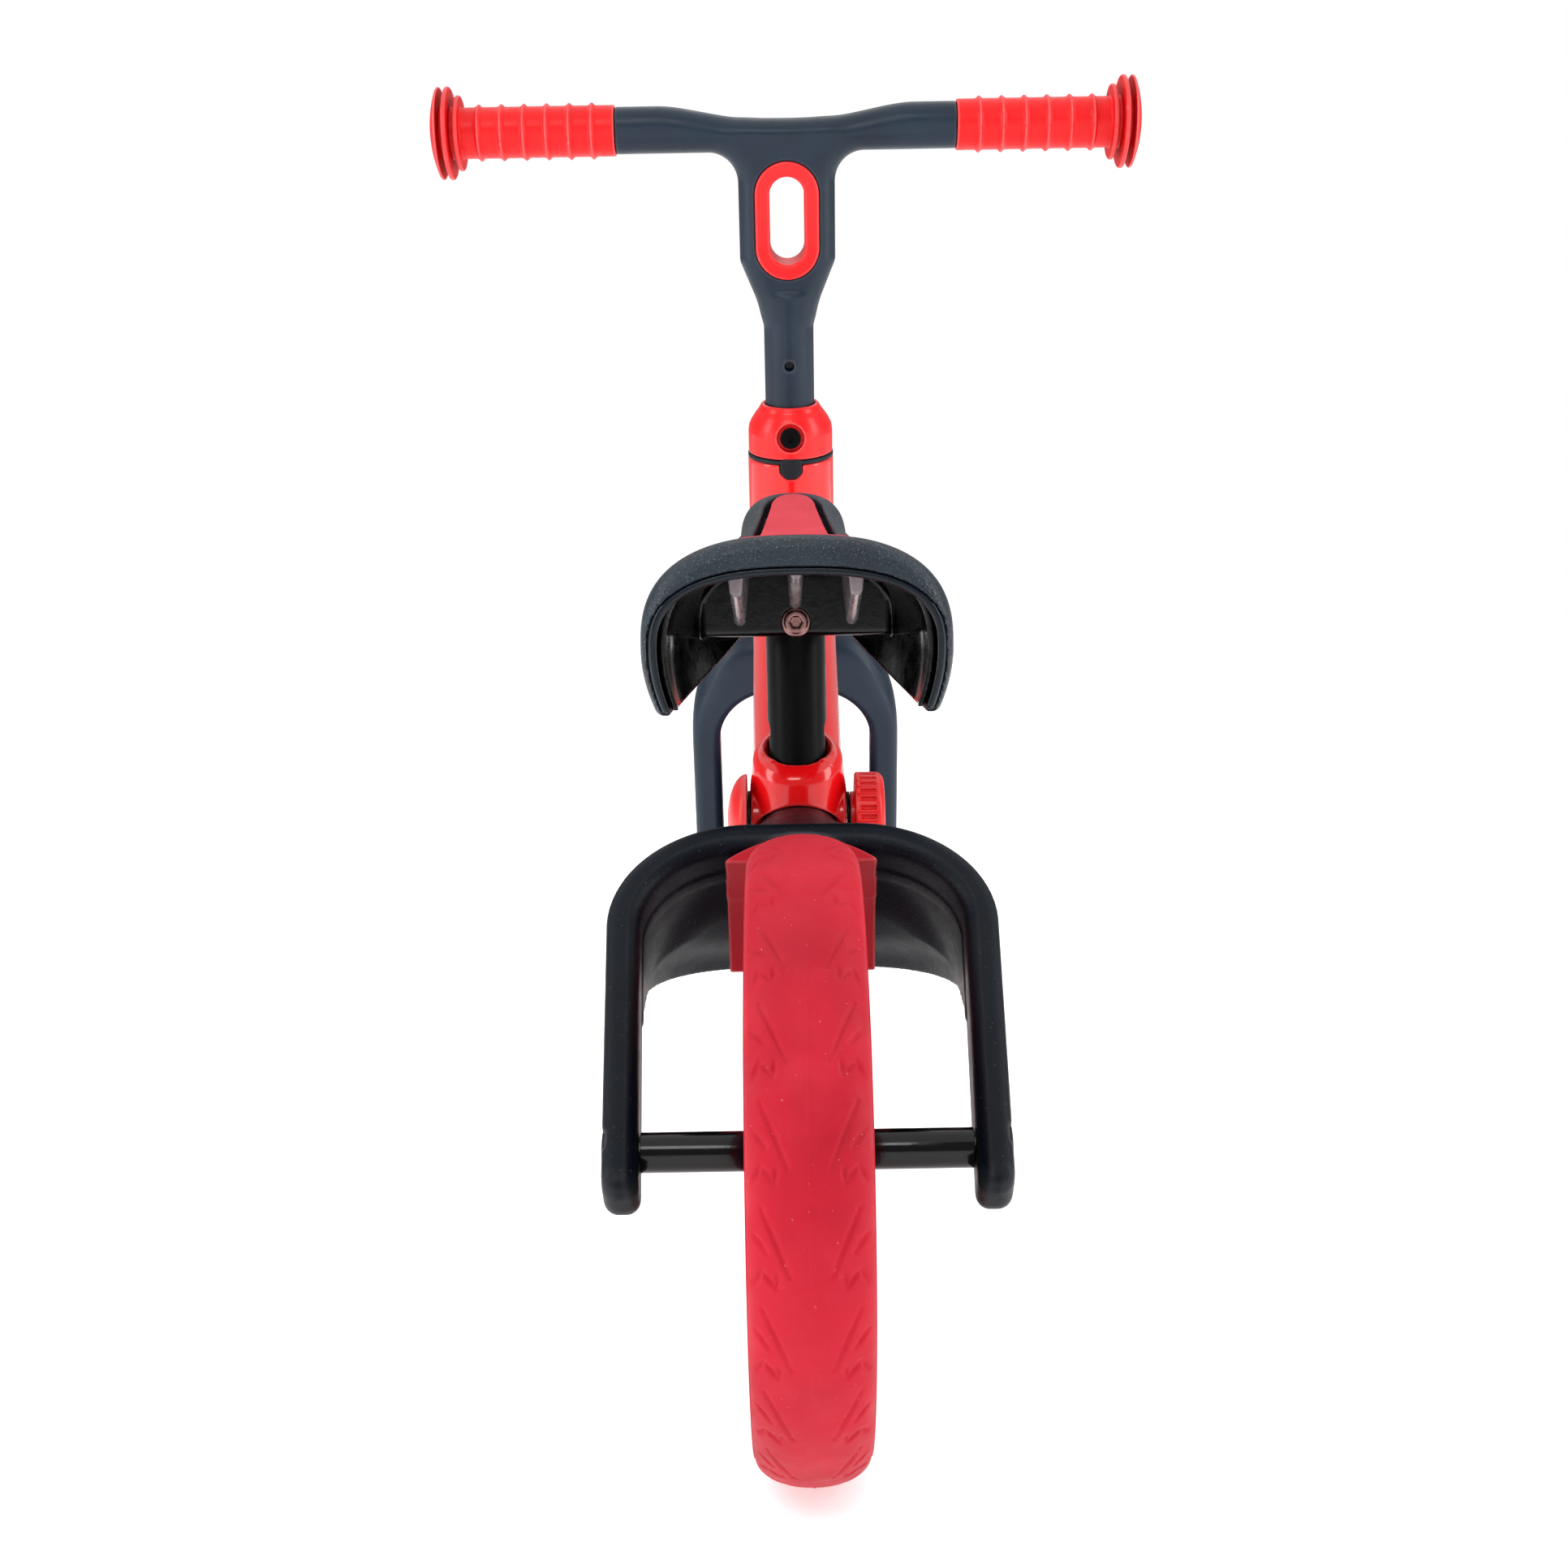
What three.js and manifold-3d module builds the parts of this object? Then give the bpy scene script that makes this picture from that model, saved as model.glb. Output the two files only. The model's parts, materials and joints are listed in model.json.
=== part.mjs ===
// A toddler's balance bike: red steel frame, moulded forks, foam tyres, a height-adjustable
// handlebar and a saddle that slides in the frame and is clamped by a hand knob.
// Millimetres. +X is the bike's right, +Y is forward, +Z is up, and the origin is on the ground
// midway between the axles.
import * as THREE from 'three';
import { mergeVertices } from 'three/addons/utils/BufferGeometryUtils.js';
import Module from 'manifold-3d';

const wasm = await Module();
wasm.setup();

// ---- Driving dimensions ----
const GAP = 0.3; // left between pieces that touch
const RUN = 0.3; // radial clearance of a piece that turns or slides

const WHEEL_RADIUS = 108;
const WHEELBASE = 575;
const TYRE_WIDTH = 38;
const TYRE_HEIGHT = 26;
const TREAD_FLAT = 7;
const BEAD_RIDGE = 3;
const RIM_WIDTH = 27;
const RIM_WALL = 6;
const HUB_RADIUS = 16;
const HUB_HALF = 17.3;
const HUB_BORE = 7.5;
const SPOKES = 5;
const SPOKE_WIDTH = 15;
const SPOKE_THICKNESS = 9;

const BEARING_RADIUS = 11;
const BEARING_WIDTH = 7;
const AXLE_RADIUS = 4;
const AXLE_HEAD_RADIUS = 7;
const AXLE_HEAD_LENGTH = 4.2;
const SPACER_RADIUS = 6.9;
const CAP_THICKNESS = 1.8;
const CAP_DEPTH_SPARE = 0.6;

const STEERING_TILT = 19;
const FORK_LEG = 17;
const FORK_INNER_HALF = 46.4;
const FORK_CROWN_TOP = 175;
const FORK_CROWN_UNDER = 138;
const FORK_DEPTH = 24;
const FORK_END = 15;
const FORK_SOCKET = 24;

const HEAD_TUBE_RADIUS = 24.7;
const HEAD_TUBE_LOW = 182;
const HEAD_TUBE_HIGH = 283.3;
const HEAD_TUBE_WALL = 3;
const STEERER_RADIUS = 17.5;
const BUSH_FLANGE = 2.6;
const BUSH_LENGTH = 14;
const KEY_WIDTH = 12.4;
const KEY_HEIGHT = 8;

const COLLAR_RADIUS = 24.2;
const COLLAR_HEIGHT = 27.6;
const COLLAR_LIP_RADIUS = 17.4;
const COLLAR_SHOULDER = 12;
const COLLAR_BOLT_UP = 12.7;
const COLLAR_BOLT_RADIUS = 3;
const COLLAR_RECESS_RADIUS = 8;
const COLLAR_RECESS_DEPTH = 4.2;

const STEM_RADIUS = 14;
const STEM_BOTTOM = 215;
const STEM_FLARE_LOW = 358;
const STEM_FLARE_HIGH = 388;
const STEM_HOLE_RADIUS = 2.8;
const STEM_HOLE_PITCH = 39;
const YOKE_HALF = 26.5;
const BAR_HEIGHT = 464;
const BAR_RADIUS = 12;
const BAR_DIP = 8;
const BAR_HALF = 92;
const BAR_SHOULDER = 68;
const YOKE_DEPTH = 23;
const YOKE_FILLET = 18;

const WINDOW_CENTRE = 416.5;
const WINDOW_HALF_WIDTH = 9.6;
const WINDOW_HALF_HEIGHT = 23.4;
const TRIM_BORDER = 8;
const TRIM_LIP = 1.6;

const GRIP_RADIUS = 13.2;
const GRIP_LENGTH = 84;
const GRIP_CORE_RADIUS = 9.5;
const GRIP_RIBS = 6;
const GRIP_RIB_PITCH = 12.2;
const GRIP_RIB_WIDTH = 2.8;
const GRIP_RIB_HEIGHT = 1.5;
const FLANGE_RADII = [19.5, 24, 24];
const FLANGE_THICKNESS = 2.6;
const FLANGE_PITCH = 5.6;
const GRIP_DOME = 4.6;

const SEAT_TUBE_Y = -49.5;
const SEAT_TUBE_RADIUS = 20.85;
const SEAT_TUBE_WALL = 3;
const SEAT_TUBE_LOW = 160;
const SEAT_TUBE_HIGH = 219;
const MAIN_TUBE_SEAT_RADIUS = 20.8;
const MAIN_TUBE_HEAD_RADIUS = 23;
const MAIN_TUBE_SEAT_Z = 203;
const MAIN_TUBE_HEAD_T = 229;
const MAIN_TUBE_WALL = 2.5;
const MAIN_TUBE_FILLET = 16;

const POST_RADIUS = 13.6;
const POST_WALL = 2;
const POST_LOW = 150;
const POST_HIGH = 296;
const POST_SLOT_HALF = 3.3;
const POST_STATION_RADIUS = 4.8;
const POST_STATIONS = [-20, 0, 20, 40];

const CLAMP_Z = 193;
const CLAMP_BOLT_RADIUS = 3;
const KNOB_RADIUS = 20.5;
const KNOB_HUB_RADIUS = 11.6;
const KNOB_HUB_X = 22.4;
const KNOB_IN_X = 26;
const KNOB_OUT_X = 39.3;
const KNOB_FLUTES = 24;
const KNOB_FLUTE_RADIUS = 1.1;
const CAP_IN_X = 23.6;
const CAP_DOME = 9;
const WASHER_RADIUS = 12.6;
const WASHER_THICKNESS = 1.2;
const PAD_PROUD = 0.9;

const NECK_RADIUS = 26;
const NECK_TOP = 200.2;
const NECK_LOW = 163;
const SLEEVE_HIGH = 213.4;
const MOUTH_RADIUS = 14.8;

const REAR_ARM_RISE = 41;
const REAR_ARM_END = 20.5;
const REAR_ARM_DEPTH = 24;
const REAR_ARM_WALL = 12.5;
const REAR_AXLE_HALF = 69.5;
const REAR_SHOULDER_HALF = 73;
const REAR_SHOULDER_L = 94;
const REAR_CROWN_L = 142;
const REAR_CROWN_FLAT = 20;
const HOOD_BOTTOM = 142;
const HOOD_WALL = 4;
const HOOD_REACH = 76;
const HOOD_START = 57.5;
const INSERT_REACH = WHEEL_RADIUS * 2 / 3;
const GUARD_HALF = 29;
const GUARD_ARCH = 11.5;
const GUARD_CROWN_WALL = 8;
const GUARD_BOTTOM = 146;
const GUARD_CLEARANCE = 13;
const GUARD_THICKNESS = 5;

const SADDLE_REAR = -175;
const SADDLE_NOSE = 46;
const SADDLE_REAR_HALF = 62.6;
const SADDLE_NOSE_HALF = 25.8;
const SADDLE_REAR_TOP = 319.5;
const SADDLE_NOSE_TOP = 345;
const SADDLE_TIP_REAR = 249;
const SADDLE_TIP_WAIST = 285;
const SADDLE_TIP_NOSE = 312;
const ARCH_POWER = 2.6;
const SHELL_WALL = 5;
const PAD_THICKNESS = 6;
const PAD_REAR_HALF = 23;
const PAD_NOSE_HALF = 10.5;
const PAD_TAPER_S = 0.7;
const PAD_END_S = 0.82;
const LINER_WALL = 2.5;
const BLOCK_HALF = 41.5;
const BLOCK_BOTTOM = 278;
const BLOCK_REAR = -104;
const BLOCK_FRONT = -28;
const RIB_PITCH = 24;
const RIB_WIDTH = 5;
const RIB_DEPTH = 9;
const SEAT_BOLT_Z = 284;
const SEAT_BOLT_RADIUS = 3;
const SEAT_BOLT_HEAD_RADIUS = 5.2;

// ---- Values worked out from them ----
const REAR_AXLE = new THREE.Vector3(0, -WHEELBASE / 2, WHEEL_RADIUS);
const FRONT_AXLE = new THREE.Vector3(0, WHEELBASE / 2, WHEEL_RADIUS);
const BEAD_RADIUS = WHEEL_RADIUS - TYRE_HEIGHT;
const COLLAR_LOW = HEAD_TUBE_HIGH + GAP + BUSH_FLANGE + GAP;
const COLLAR_BOLT_T = COLLAR_LOW + COLLAR_BOLT_UP;
const SLEEVE_RADIUS = SEAT_TUBE_RADIUS - SEAT_TUBE_WALL - GAP;
const STEERING = frameAt(FRONT_AXLE, STEERING_TILT);
const REAR_ARM = frameAt(REAR_AXLE, REAR_ARM_RISE);
const ACROSS = new THREE.Matrix4().makeRotationZ(-Math.PI / 2);
const UPRIGHT = new THREE.Matrix4().makeRotationX(Math.PI / 2);

const MATERIALS = {
  frame_red: { color: 0xf5333a, roughness: 0.22, metalness: 0 },
  satin_red: { color: 0xe8343a, roughness: 0.45, metalness: 0 },
  tyre_red: { color: 0xdc3850, roughness: 0.75, metalness: 0 },
  pad_red: { color: 0xe0404f, roughness: 0.7, metalness: 0 },
  navy: { color: 0x2a3646, roughness: 0.5, metalness: 0 },
  dark_navy: { color: 0x172331, roughness: 0.55, metalness: 0 },
  slate: { color: 0x2a343e, roughness: 0.65, metalness: 0 },
  gloss_black: { color: 0x0c0c0e, roughness: 0.15, metalness: 0 },
  satin_black: { color: 0x141414, roughness: 0.4, metalness: 0.3 },
  steel: { color: 0x9a9a9c, roughness: 0.3, metalness: 1 },
};

// ---- Tools ----
// A frame at a point, with +X kept and +Y and +Z turned about it by an angle in degrees.
function frameAt(point, degrees) {
  const turn = new THREE.Matrix4().makeRotationX(THREE.MathUtils.degToRad(degrees));
  return new THREE.Matrix4().setPosition(point).multiply(turn);
}

function at(x, y, z) {
  return new THREE.Matrix4().makeTranslation(x, y, z);
}

// Turns a closed geometry into a solid that can be joined and cut, after placing it.
function solid(geometry, ...places) {
  const bare = new THREE.BufferGeometry();
  bare.setAttribute('position', geometry.getAttribute('position').clone());
  bare.setIndex(geometry.index);
  const merged = mergeVertices(bare, 1e-3);
  for (const place of [...places].reverse()) merged.applyMatrix4(place);
  const points = merged.getAttribute('position').array;
  const corners = [];
  for (let i = 0; i < merged.index.count; i += 3) {
    const [a, b, c] = merged.index.array.slice(i, i + 3);
    if (a !== b && b !== c && c !== a) corners.push(a, b, c);
  }
  if (signedVolume(points, corners) < 0) corners.reverse();
  return new wasm.Manifold(new wasm.Mesh({
    numProp: 3,
    vertProperties: new Float32Array(points),
    triVerts: new Uint32Array(corners),
  }));
}

function signedVolume(points, corners) {
  const corner = (i) => new THREE.Vector3().fromArray(points, 3 * corners[i]);
  let total = 0;
  for (let i = 0; i < corners.length; i += 3) {
    total += corner(i).dot(corner(i + 1).cross(corner(i + 2))) / 6;
  }
  return total;
}

const join = (...pieces) => pieces.reduce((whole, piece) => whole.add(piece));
const cut = (whole, ...tools) => tools.reduce((rest, tool) => rest.subtract(tool), whole);

function named(name, body, look) {
  const mesh = body.getMesh();
  const geometry = new THREE.BufferGeometry();
  geometry.setAttribute('position', new THREE.BufferAttribute(new Float32Array(mesh.vertProperties), 3));
  geometry.setIndex(new THREE.BufferAttribute(new Uint32Array(mesh.triVerts), 1));
  geometry.computeVertexNormals();
  const node = new THREE.Mesh(geometry, new THREE.MeshStandardMaterial(MATERIALS[look]));
  node.name = name;
  return node;
}

// A round body about its own Y axis through [radius, height] points that start and end on the axis.
function turned(profile, sides, ...places) {
  const points = profile.map(([r, h]) => new THREE.Vector2(r, h));
  return solid(new THREE.LatheGeometry(points, sides), ...places);
}

// The same for a ring, whose profile closes on itself away from the axis.
function ring(profile, sides, ...places) {
  return turned([...profile, profile[0]], sides, ...places);
}

function disc(radius, low, high, sides, ...places) {
  return turned([[0, low], [radius, low], [radius, high], [0, high]], sides, ...places);
}

function tube(outer, inner, low, high, sides, ...places) {
  return ring([[inner, low], [outer, low], [outer, high], [inner, high]], sides, ...places);
}

// A hexagon nut with a round hole a gap wider than its bolt.
function hexNut(corner, bolt, low, high, ...places) {
  return cut(disc(corner, low, high, 6, ...places), disc(bolt + GAP, low - 1, high + 1, 16, ...places));
}

function block(x, y, z, ...places) {
  const geometry = new THREE.BoxGeometry(x[1] - x[0], y[1] - y[0], z[1] - z[0]);
  const middle = at((x[0] + x[1]) / 2, (y[0] + y[1]) / 2, (z[0] + z[1]) / 2);
  return solid(geometry, ...places, middle);
}

// The points of an outline that bend it, without doubled points and points along a straight edge.
function cornersOf(drawn) {
  const apart = drawn.filter((p, i) => p.distanceTo(drawn[(i + 1) % drawn.length]) > 0.02);
  return apart.filter((p, i) => {
    const before = p.clone().sub(apart[(i + apart.length - 1) % apart.length]);
    const after = apart[(i + 1) % apart.length].clone().sub(p);
    return Math.abs(before.cross(after)) > 1e-3;
  });
}

// A flat outline given thickness along its own Z, from low to high, with rounded edges.
function plate(shape, low, high, round, ...places) {
  const outline = cornersOf(shape.getPoints(4));
  const geometry = new THREE.ExtrudeGeometry(new THREE.Shape(outline), {
    depth: high - low - 2 * round,
    bevelEnabled: round > 0,
    bevelSize: round,
    bevelThickness: round,
    bevelOffset: -round,
    bevelSegments: 1,
  });
  return solid(geometry, ...places, at(0, 0, low + round));
}

// A closed skin through rings of points, each ring with the same number of points.
function skin(rings, ...places) {
  const sides = rings[0].length;
  const points = rings.flat();
  const corners = [];
  for (let i = 0; i + 1 < rings.length; i += 1) {
    for (let j = 0; j < sides; j += 1) {
      const a = i * sides + j;
      const b = i * sides + (j + 1) % sides;
      corners.push(a, b, b + sides, a, b + sides, a + sides);
    }
  }
  for (const last of [false, true]) {
    const start = last ? points.length - sides : 0;
    const contour = points.slice(start, start + sides).map((p) => new THREE.Vector2(p.x, p.z));
    const turn = THREE.ShapeUtils.area(contour);
    for (const face of THREE.ShapeUtils.triangulateShape(contour, [])) {
      const sameWay = THREE.ShapeUtils.area(face.map((i) => contour[i])) * turn > 0;
      const ordered = sameWay === last ? face : face.reverse();
      corners.push(...ordered.map((i) => i + start));
    }
  }
  const geometry = new THREE.BufferGeometry();
  const values = points.flatMap((p) => [p.x, p.y, p.z]);
  geometry.setAttribute('position', new THREE.Float32BufferAttribute(values, 3));
  geometry.setIndex(corners);
  return solid(geometry, ...places);
}

const smooth = (t) => THREE.MathUtils.smoothstep(t, 0, 1);
const mix = THREE.MathUtils.lerp;

// ---- Wheels, the same at both ends ----
const WHEEL_SIDES = 28;
// Turns a wheel so that it stands on the middle of a facet.
const FLAT_DOWN = new THREE.Matrix4().makeRotationX(Math.PI / WHEEL_SIDES);

function tyreBody(place) {
  const half = TYRE_WIDTH / 2;
  const tread = WHEEL_RADIUS / Math.cos(Math.PI / WHEEL_SIDES);
  const bead = BEAD_RADIUS + GAP;
  const profile = [
    [bead, -RIM_WIDTH / 2], [BEAD_RADIUS + 5, 2 - half], [BEAD_RADIUS + 12, -half],
    [tread - 7, 3.2 - half], [tread - 2.4, 8.5 - half], [tread, -TREAD_FLAT / 2],
    [tread, TREAD_FLAT / 2], [tread - 2.4, half - 8.5], [tread - 7, half - 3.2],
    [BEAD_RADIUS + 12, half], [BEAD_RADIUS + 5, half - 2], [bead, RIM_WIDTH / 2],
    [bead, BEAD_RIDGE + GAP], [bead + BEAD_RIDGE, BEAD_RIDGE + GAP],
    [bead + BEAD_RIDGE, -BEAD_RIDGE - GAP], [bead, -BEAD_RIDGE - GAP],
  ];
  return ring(profile, WHEEL_SIDES, place, FLAT_DOWN, ACROSS);
}

function rimBody(place) {
  const half = RIM_WIDTH / 2;
  const inner = BEAD_RADIUS - RIM_WALL;
  const band = ring([
    [inner + 2, -half], [BEAD_RADIUS, -half], [BEAD_RADIUS, -BEAD_RIDGE],
    [BEAD_RADIUS + BEAD_RIDGE, -BEAD_RIDGE], [BEAD_RADIUS + BEAD_RIDGE, BEAD_RIDGE],
    [BEAD_RADIUS, BEAD_RIDGE], [BEAD_RADIUS, half], [inner + 2, half], [inner, 0],
  ], WHEEL_SIDES, place, FLAT_DOWN, ACROSS);
  const pocket = HUB_HALF - BEARING_WIDTH - GAP;
  const bore = BEARING_RADIUS + GAP;
  const hub = ring([
    [bore, -HUB_HALF], [HUB_RADIUS, -HUB_HALF], [HUB_RADIUS + 2, 0], [HUB_RADIUS, HUB_HALF],
    [bore, HUB_HALF], [bore, pocket], [HUB_BORE, pocket], [HUB_BORE, -pocket], [bore, -pocket],
  ], 14, place, ACROSS);
  let body = join(band, hub);
  for (let i = 0; i < SPOKES; i += 1) {
    const turn = new THREE.Matrix4().makeRotationX((2 * Math.PI * (i + 0.5)) / SPOKES);
    body = body.add(block([-SPOKE_THICKNESS / 2, SPOKE_THICKNESS / 2],
      [-SPOKE_WIDTH / 2, SPOKE_WIDTH / 2], [HUB_RADIUS - 1, inner + 2], place, turn));
  }
  return body;
}

// A sealed ball bearing, with its shield set back between the two races.
function bearingBody(place) {
  const inner = AXLE_RADIUS + RUN;
  const race = 1.9;
  const shield = 0.5;
  const high = BEARING_WIDTH;
  return ring([
    [inner, 0], [inner + race, 0], [inner + race, shield], [BEARING_RADIUS - race, shield],
    [BEARING_RADIUS - race, 0], [BEARING_RADIUS, 0], [BEARING_RADIUS, high], [inner, high],
  ], 16, place, ACROSS);
}

// The axle between two legs whose inner faces are legInner, and outer faces legOuter, from the middle.
function axleSet(end, axle, legInner, legOuter) {
  const place = at(axle.x, axle.y, axle.z);
  const seat = legOuter - axleRecess();
  const bolt = join(
    disc(AXLE_RADIUS, -seat - AXLE_HEAD_LENGTH, seat + 1, 16, place, ACROSS),
    cut(disc(AXLE_HEAD_RADIUS, seat + GAP, seat + GAP + AXLE_HEAD_LENGTH, 16, place, ACROSS),
      disc(2.5, seat + 2.5, seat + 9, 6, place, ACROSS)),
  );
  const nut = hexNut(AXLE_HEAD_RADIUS, AXLE_RADIUS, -seat - GAP - AXLE_HEAD_LENGTH, -seat - GAP,
    place, ACROSS);
  const sleeve = HUB_HALF - BEARING_WIDTH - 2 * GAP;
  const parts = [
    named(`${end}_axle_bolt`, bolt, 'steel'),
    named(`${end}_axle_nut`, nut, 'steel'),
    named(`${end}_bearing_sleeve`,
      tube(HUB_BORE - 1.5, AXLE_RADIUS + GAP, -sleeve, sleeve, 16, place, ACROSS), 'steel'),
  ];
  for (const [side, sign] of [['left', -1], ['right', 1]]) {
    const [near, far] = [HUB_HALF + GAP, legInner - GAP].map((x) => x * sign);
    parts.push(named(`${end}_spacer_${side}`, tube(SPACER_RADIUS, AXLE_RADIUS + GAP,
      Math.min(near, far), Math.max(near, far), 16, place, ACROSS), 'gloss_black'));
    const turn = new THREE.Matrix4().makeRotationZ(sign > 0 ? 0 : Math.PI);
    parts.push(named(`${end}_axle_cap_${side}`, disc(AXLE_HEAD_RADIUS + 1.2,
      legOuter - CAP_THICKNESS, legOuter, 20, place, turn, ACROSS), 'dark_navy'));
  }
  return parts;
}

const axleRecess = () => AXLE_HEAD_LENGTH + GAP + CAP_THICKNESS + CAP_DEPTH_SPARE;

// What is cut from a pair of legs so that the axle, its head, its nut and its caps go in.
function axleHoles(axle, legOuter) {
  const place = at(axle.x, axle.y, axle.z);
  const recess = AXLE_HEAD_RADIUS + 1.2 + GAP;
  const seat = legOuter - axleRecess();
  return join(
    disc(AXLE_RADIUS + GAP, -legOuter - 9, legOuter + 9, 16, place, ACROSS),
    disc(recess, seat, legOuter + 9, 16, place, ACROSS),
    disc(recess, -legOuter - 9, -seat, 20, place, ACROSS),
  );
}

function wheel(end, axle) {
  const place = at(axle.x, axle.y, axle.z);
  const parts = [
    named(`${end}_tyre`, tyreBody(place), 'tyre_red'),
    named(`${end}_rim`, rimBody(place), 'dark_navy'),
  ];
  for (const [side, sign] of [['left', -1], ['right', 1]]) {
    const low = sign > 0 ? HUB_HALF - BEARING_WIDTH : -HUB_HALF;
    parts.push(named(`${end}_bearing_${side}`, bearingBody(place.clone().multiply(at(low, 0, 0))), 'steel'));
  }
  return parts;
}

// ---- Front fork and steering, in the steering frame: Z runs up the steering axis ----
function forkOutline() {
  const outer = FORK_INNER_HALF + FORK_LEG;
  const [flat, spring] = [22, 112];
  const [innerFlat, innerSpring] = [10, 106];
  const shape = new THREE.Shape();
  shape.moveTo(outer, 0);
  shape.lineTo(outer, spring);
  shape.absellipse(flat, spring, outer - flat, FORK_CROWN_TOP - spring, 0, Math.PI / 2);
  shape.absellipse(-flat, spring, outer - flat, FORK_CROWN_TOP - spring, Math.PI / 2, Math.PI);
  legEnd(shape, -outer, -FORK_INNER_HALF, -FORK_END);
  shape.absellipse(-innerFlat, innerSpring, FORK_INNER_HALF - innerFlat,
    FORK_CROWN_UNDER - innerSpring, Math.PI, Math.PI / 2, true);
  shape.absellipse(innerFlat, innerSpring, FORK_INNER_HALF - innerFlat,
    FORK_CROWN_UNDER - innerSpring, Math.PI / 2, 0, true);
  legEnd(shape, FORK_INNER_HALF, outer, -FORK_END);
  return shape;
}

// The foot of a leg, from its left side to its right side, with its corners rounded.
function legEnd(shape, from, to, foot) {
  const round = 0.42 * (to - from);
  shape.absarc(from + round, foot + round, round, Math.PI, 1.5 * Math.PI);
  shape.absarc(to - round, foot + round, round, 1.5 * Math.PI, 2 * Math.PI);
}

// A shape drawn in a frame's X and Z is extruded along its Y, and this turns it that way.
const STANDING = new THREE.Matrix4().makeRotationX(Math.PI / 2);

function frontFork() {
  const legs = plate(forkOutline(), -FORK_DEPTH / 2, FORK_DEPTH / 2, 4, STEERING, STANDING);
  const seat = disc(STEERER_RADIUS + 5.5, FORK_CROWN_TOP - 22, FORK_CROWN_TOP + 1, 18, STEERING, UPRIGHT);
  const socket = disc(STEERER_RADIUS + GAP, FORK_CROWN_TOP - FORK_SOCKET, FORK_CROWN_TOP + 9, 32,
    STEERING, UPRIGHT);
  const holes = axleHoles(FRONT_AXLE, FORK_INNER_HALF + FORK_LEG);
  return named('front_fork', cut(join(legs, seat), socket, holes), 'navy');
}

function radialHole(radius, t, near, far, sides = 16) {
  return disc(radius, -far, -near, sides, STEERING, at(0, 0, t));
}

function steererTube() {
  const low = FORK_CROWN_TOP - FORK_SOCKET + GAP;
  const high = COLLAR_LOW + COLLAR_HEIGHT - 7;
  const wall = tube(STEERER_RADIUS, STEM_RADIUS + RUN, low, high, 18, STEERING, UPRIGHT);
  const hole = radialHole(COLLAR_BOLT_RADIUS + GAP, COLLAR_BOLT_T, STEM_RADIUS - 2, STEERER_RADIUS + 2);
  return named('steerer_tube', cut(wall, hole), 'steel');
}

// A plastic bush: a sleeve inside the head tube and a flange against its end.
function bush(sleeveEnd, faceNear, faceFar, flangeRadius) {
  const outer = HEAD_TUBE_RADIUS - HEAD_TUBE_WALL - GAP;
  const inner = STEERER_RADIUS + RUN;
  return ring([[inner, sleeveEnd], [outer, sleeveEnd], [outer, faceNear], [flangeRadius, faceNear],
    [flangeRadius, faceFar], [inner, faceFar]], 18, STEERING, UPRIGHT);
}

// The key tab of the upper bush, and with a margin the notch that it drops into.
function keyTab(margin) {
  const half = KEY_WIDTH / 2 + margin;
  const low = HEAD_TUBE_HIGH - KEY_HEIGHT - margin;
  const shape = new THREE.Shape();
  shape.moveTo(half, HEAD_TUBE_HIGH + 1);
  shape.lineTo(-half, HEAD_TUBE_HIGH + 1);
  shape.lineTo(-half, low + half / 2);
  shape.quadraticCurveTo(-half * 0.5, low, 0, low);
  shape.quadraticCurveTo(half * 0.5, low, half, low + half / 2);
  const inner = HEAD_TUBE_RADIUS - HEAD_TUBE_WALL - margin;
  return plate(shape, inner, HEAD_TUBE_RADIUS + 0.6 + margin * 3, 0, STEERING, STANDING);
}

function upperBush() {
  const near = HEAD_TUBE_HIGH + GAP;
  const body = bush(HEAD_TUBE_HIGH - BUSH_LENGTH, near, near + BUSH_FLANGE, HEAD_TUBE_RADIUS);
  const outside = cut(keyTab(0), disc(HEAD_TUBE_RADIUS - HEAD_TUBE_WALL - GAP - 0.5,
    HEAD_TUBE_HIGH - 30, HEAD_TUBE_HIGH + 30, 18, STEERING, UPRIGHT));
  return named('upper_headset_bush', join(body, outside), 'satin_black');
}

function lowerBush() {
  const near = HEAD_TUBE_LOW - GAP;
  return named('lower_headset_bush',
    bush(HEAD_TUBE_LOW + BUSH_LENGTH, near, FORK_CROWN_TOP + 1 + GAP, HEAD_TUBE_RADIUS - 1.5), 'satin_black');
}

function heightCollar() {
  const [low, high] = [COLLAR_LOW, COLLAR_LOW + COLLAR_HEIGHT];
  const body = ring([
    [STEERER_RADIUS + GAP, low], [COLLAR_RADIUS - 0.8, low], [COLLAR_RADIUS, low + 0.8],
    [COLLAR_RADIUS, low + COLLAR_SHOULDER], [COLLAR_RADIUS - 2.3, low + COLLAR_SHOULDER + 6.5],
    [COLLAR_LIP_RADIUS, high - 3], [COLLAR_LIP_RADIUS - 1.6, high],
    [STEM_RADIUS + RUN + 0.2, high], [STEM_RADIUS + RUN + 0.2, high - 6.5],
    [STEERER_RADIUS + GAP, high - 6.5],
  ], 18, STEERING, UPRIGHT);
  const recess = radialHole(COLLAR_RECESS_RADIUS, COLLAR_BOLT_T, COLLAR_RADIUS - COLLAR_RECESS_DEPTH,
    COLLAR_RADIUS + 9, 14);
  const hole = radialHole(COLLAR_BOLT_RADIUS + GAP, COLLAR_BOLT_T, STEM_RADIUS, COLLAR_RADIUS + 9);
  return named('height_collar', cut(body, recess, hole), 'satin_red');
}

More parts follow.
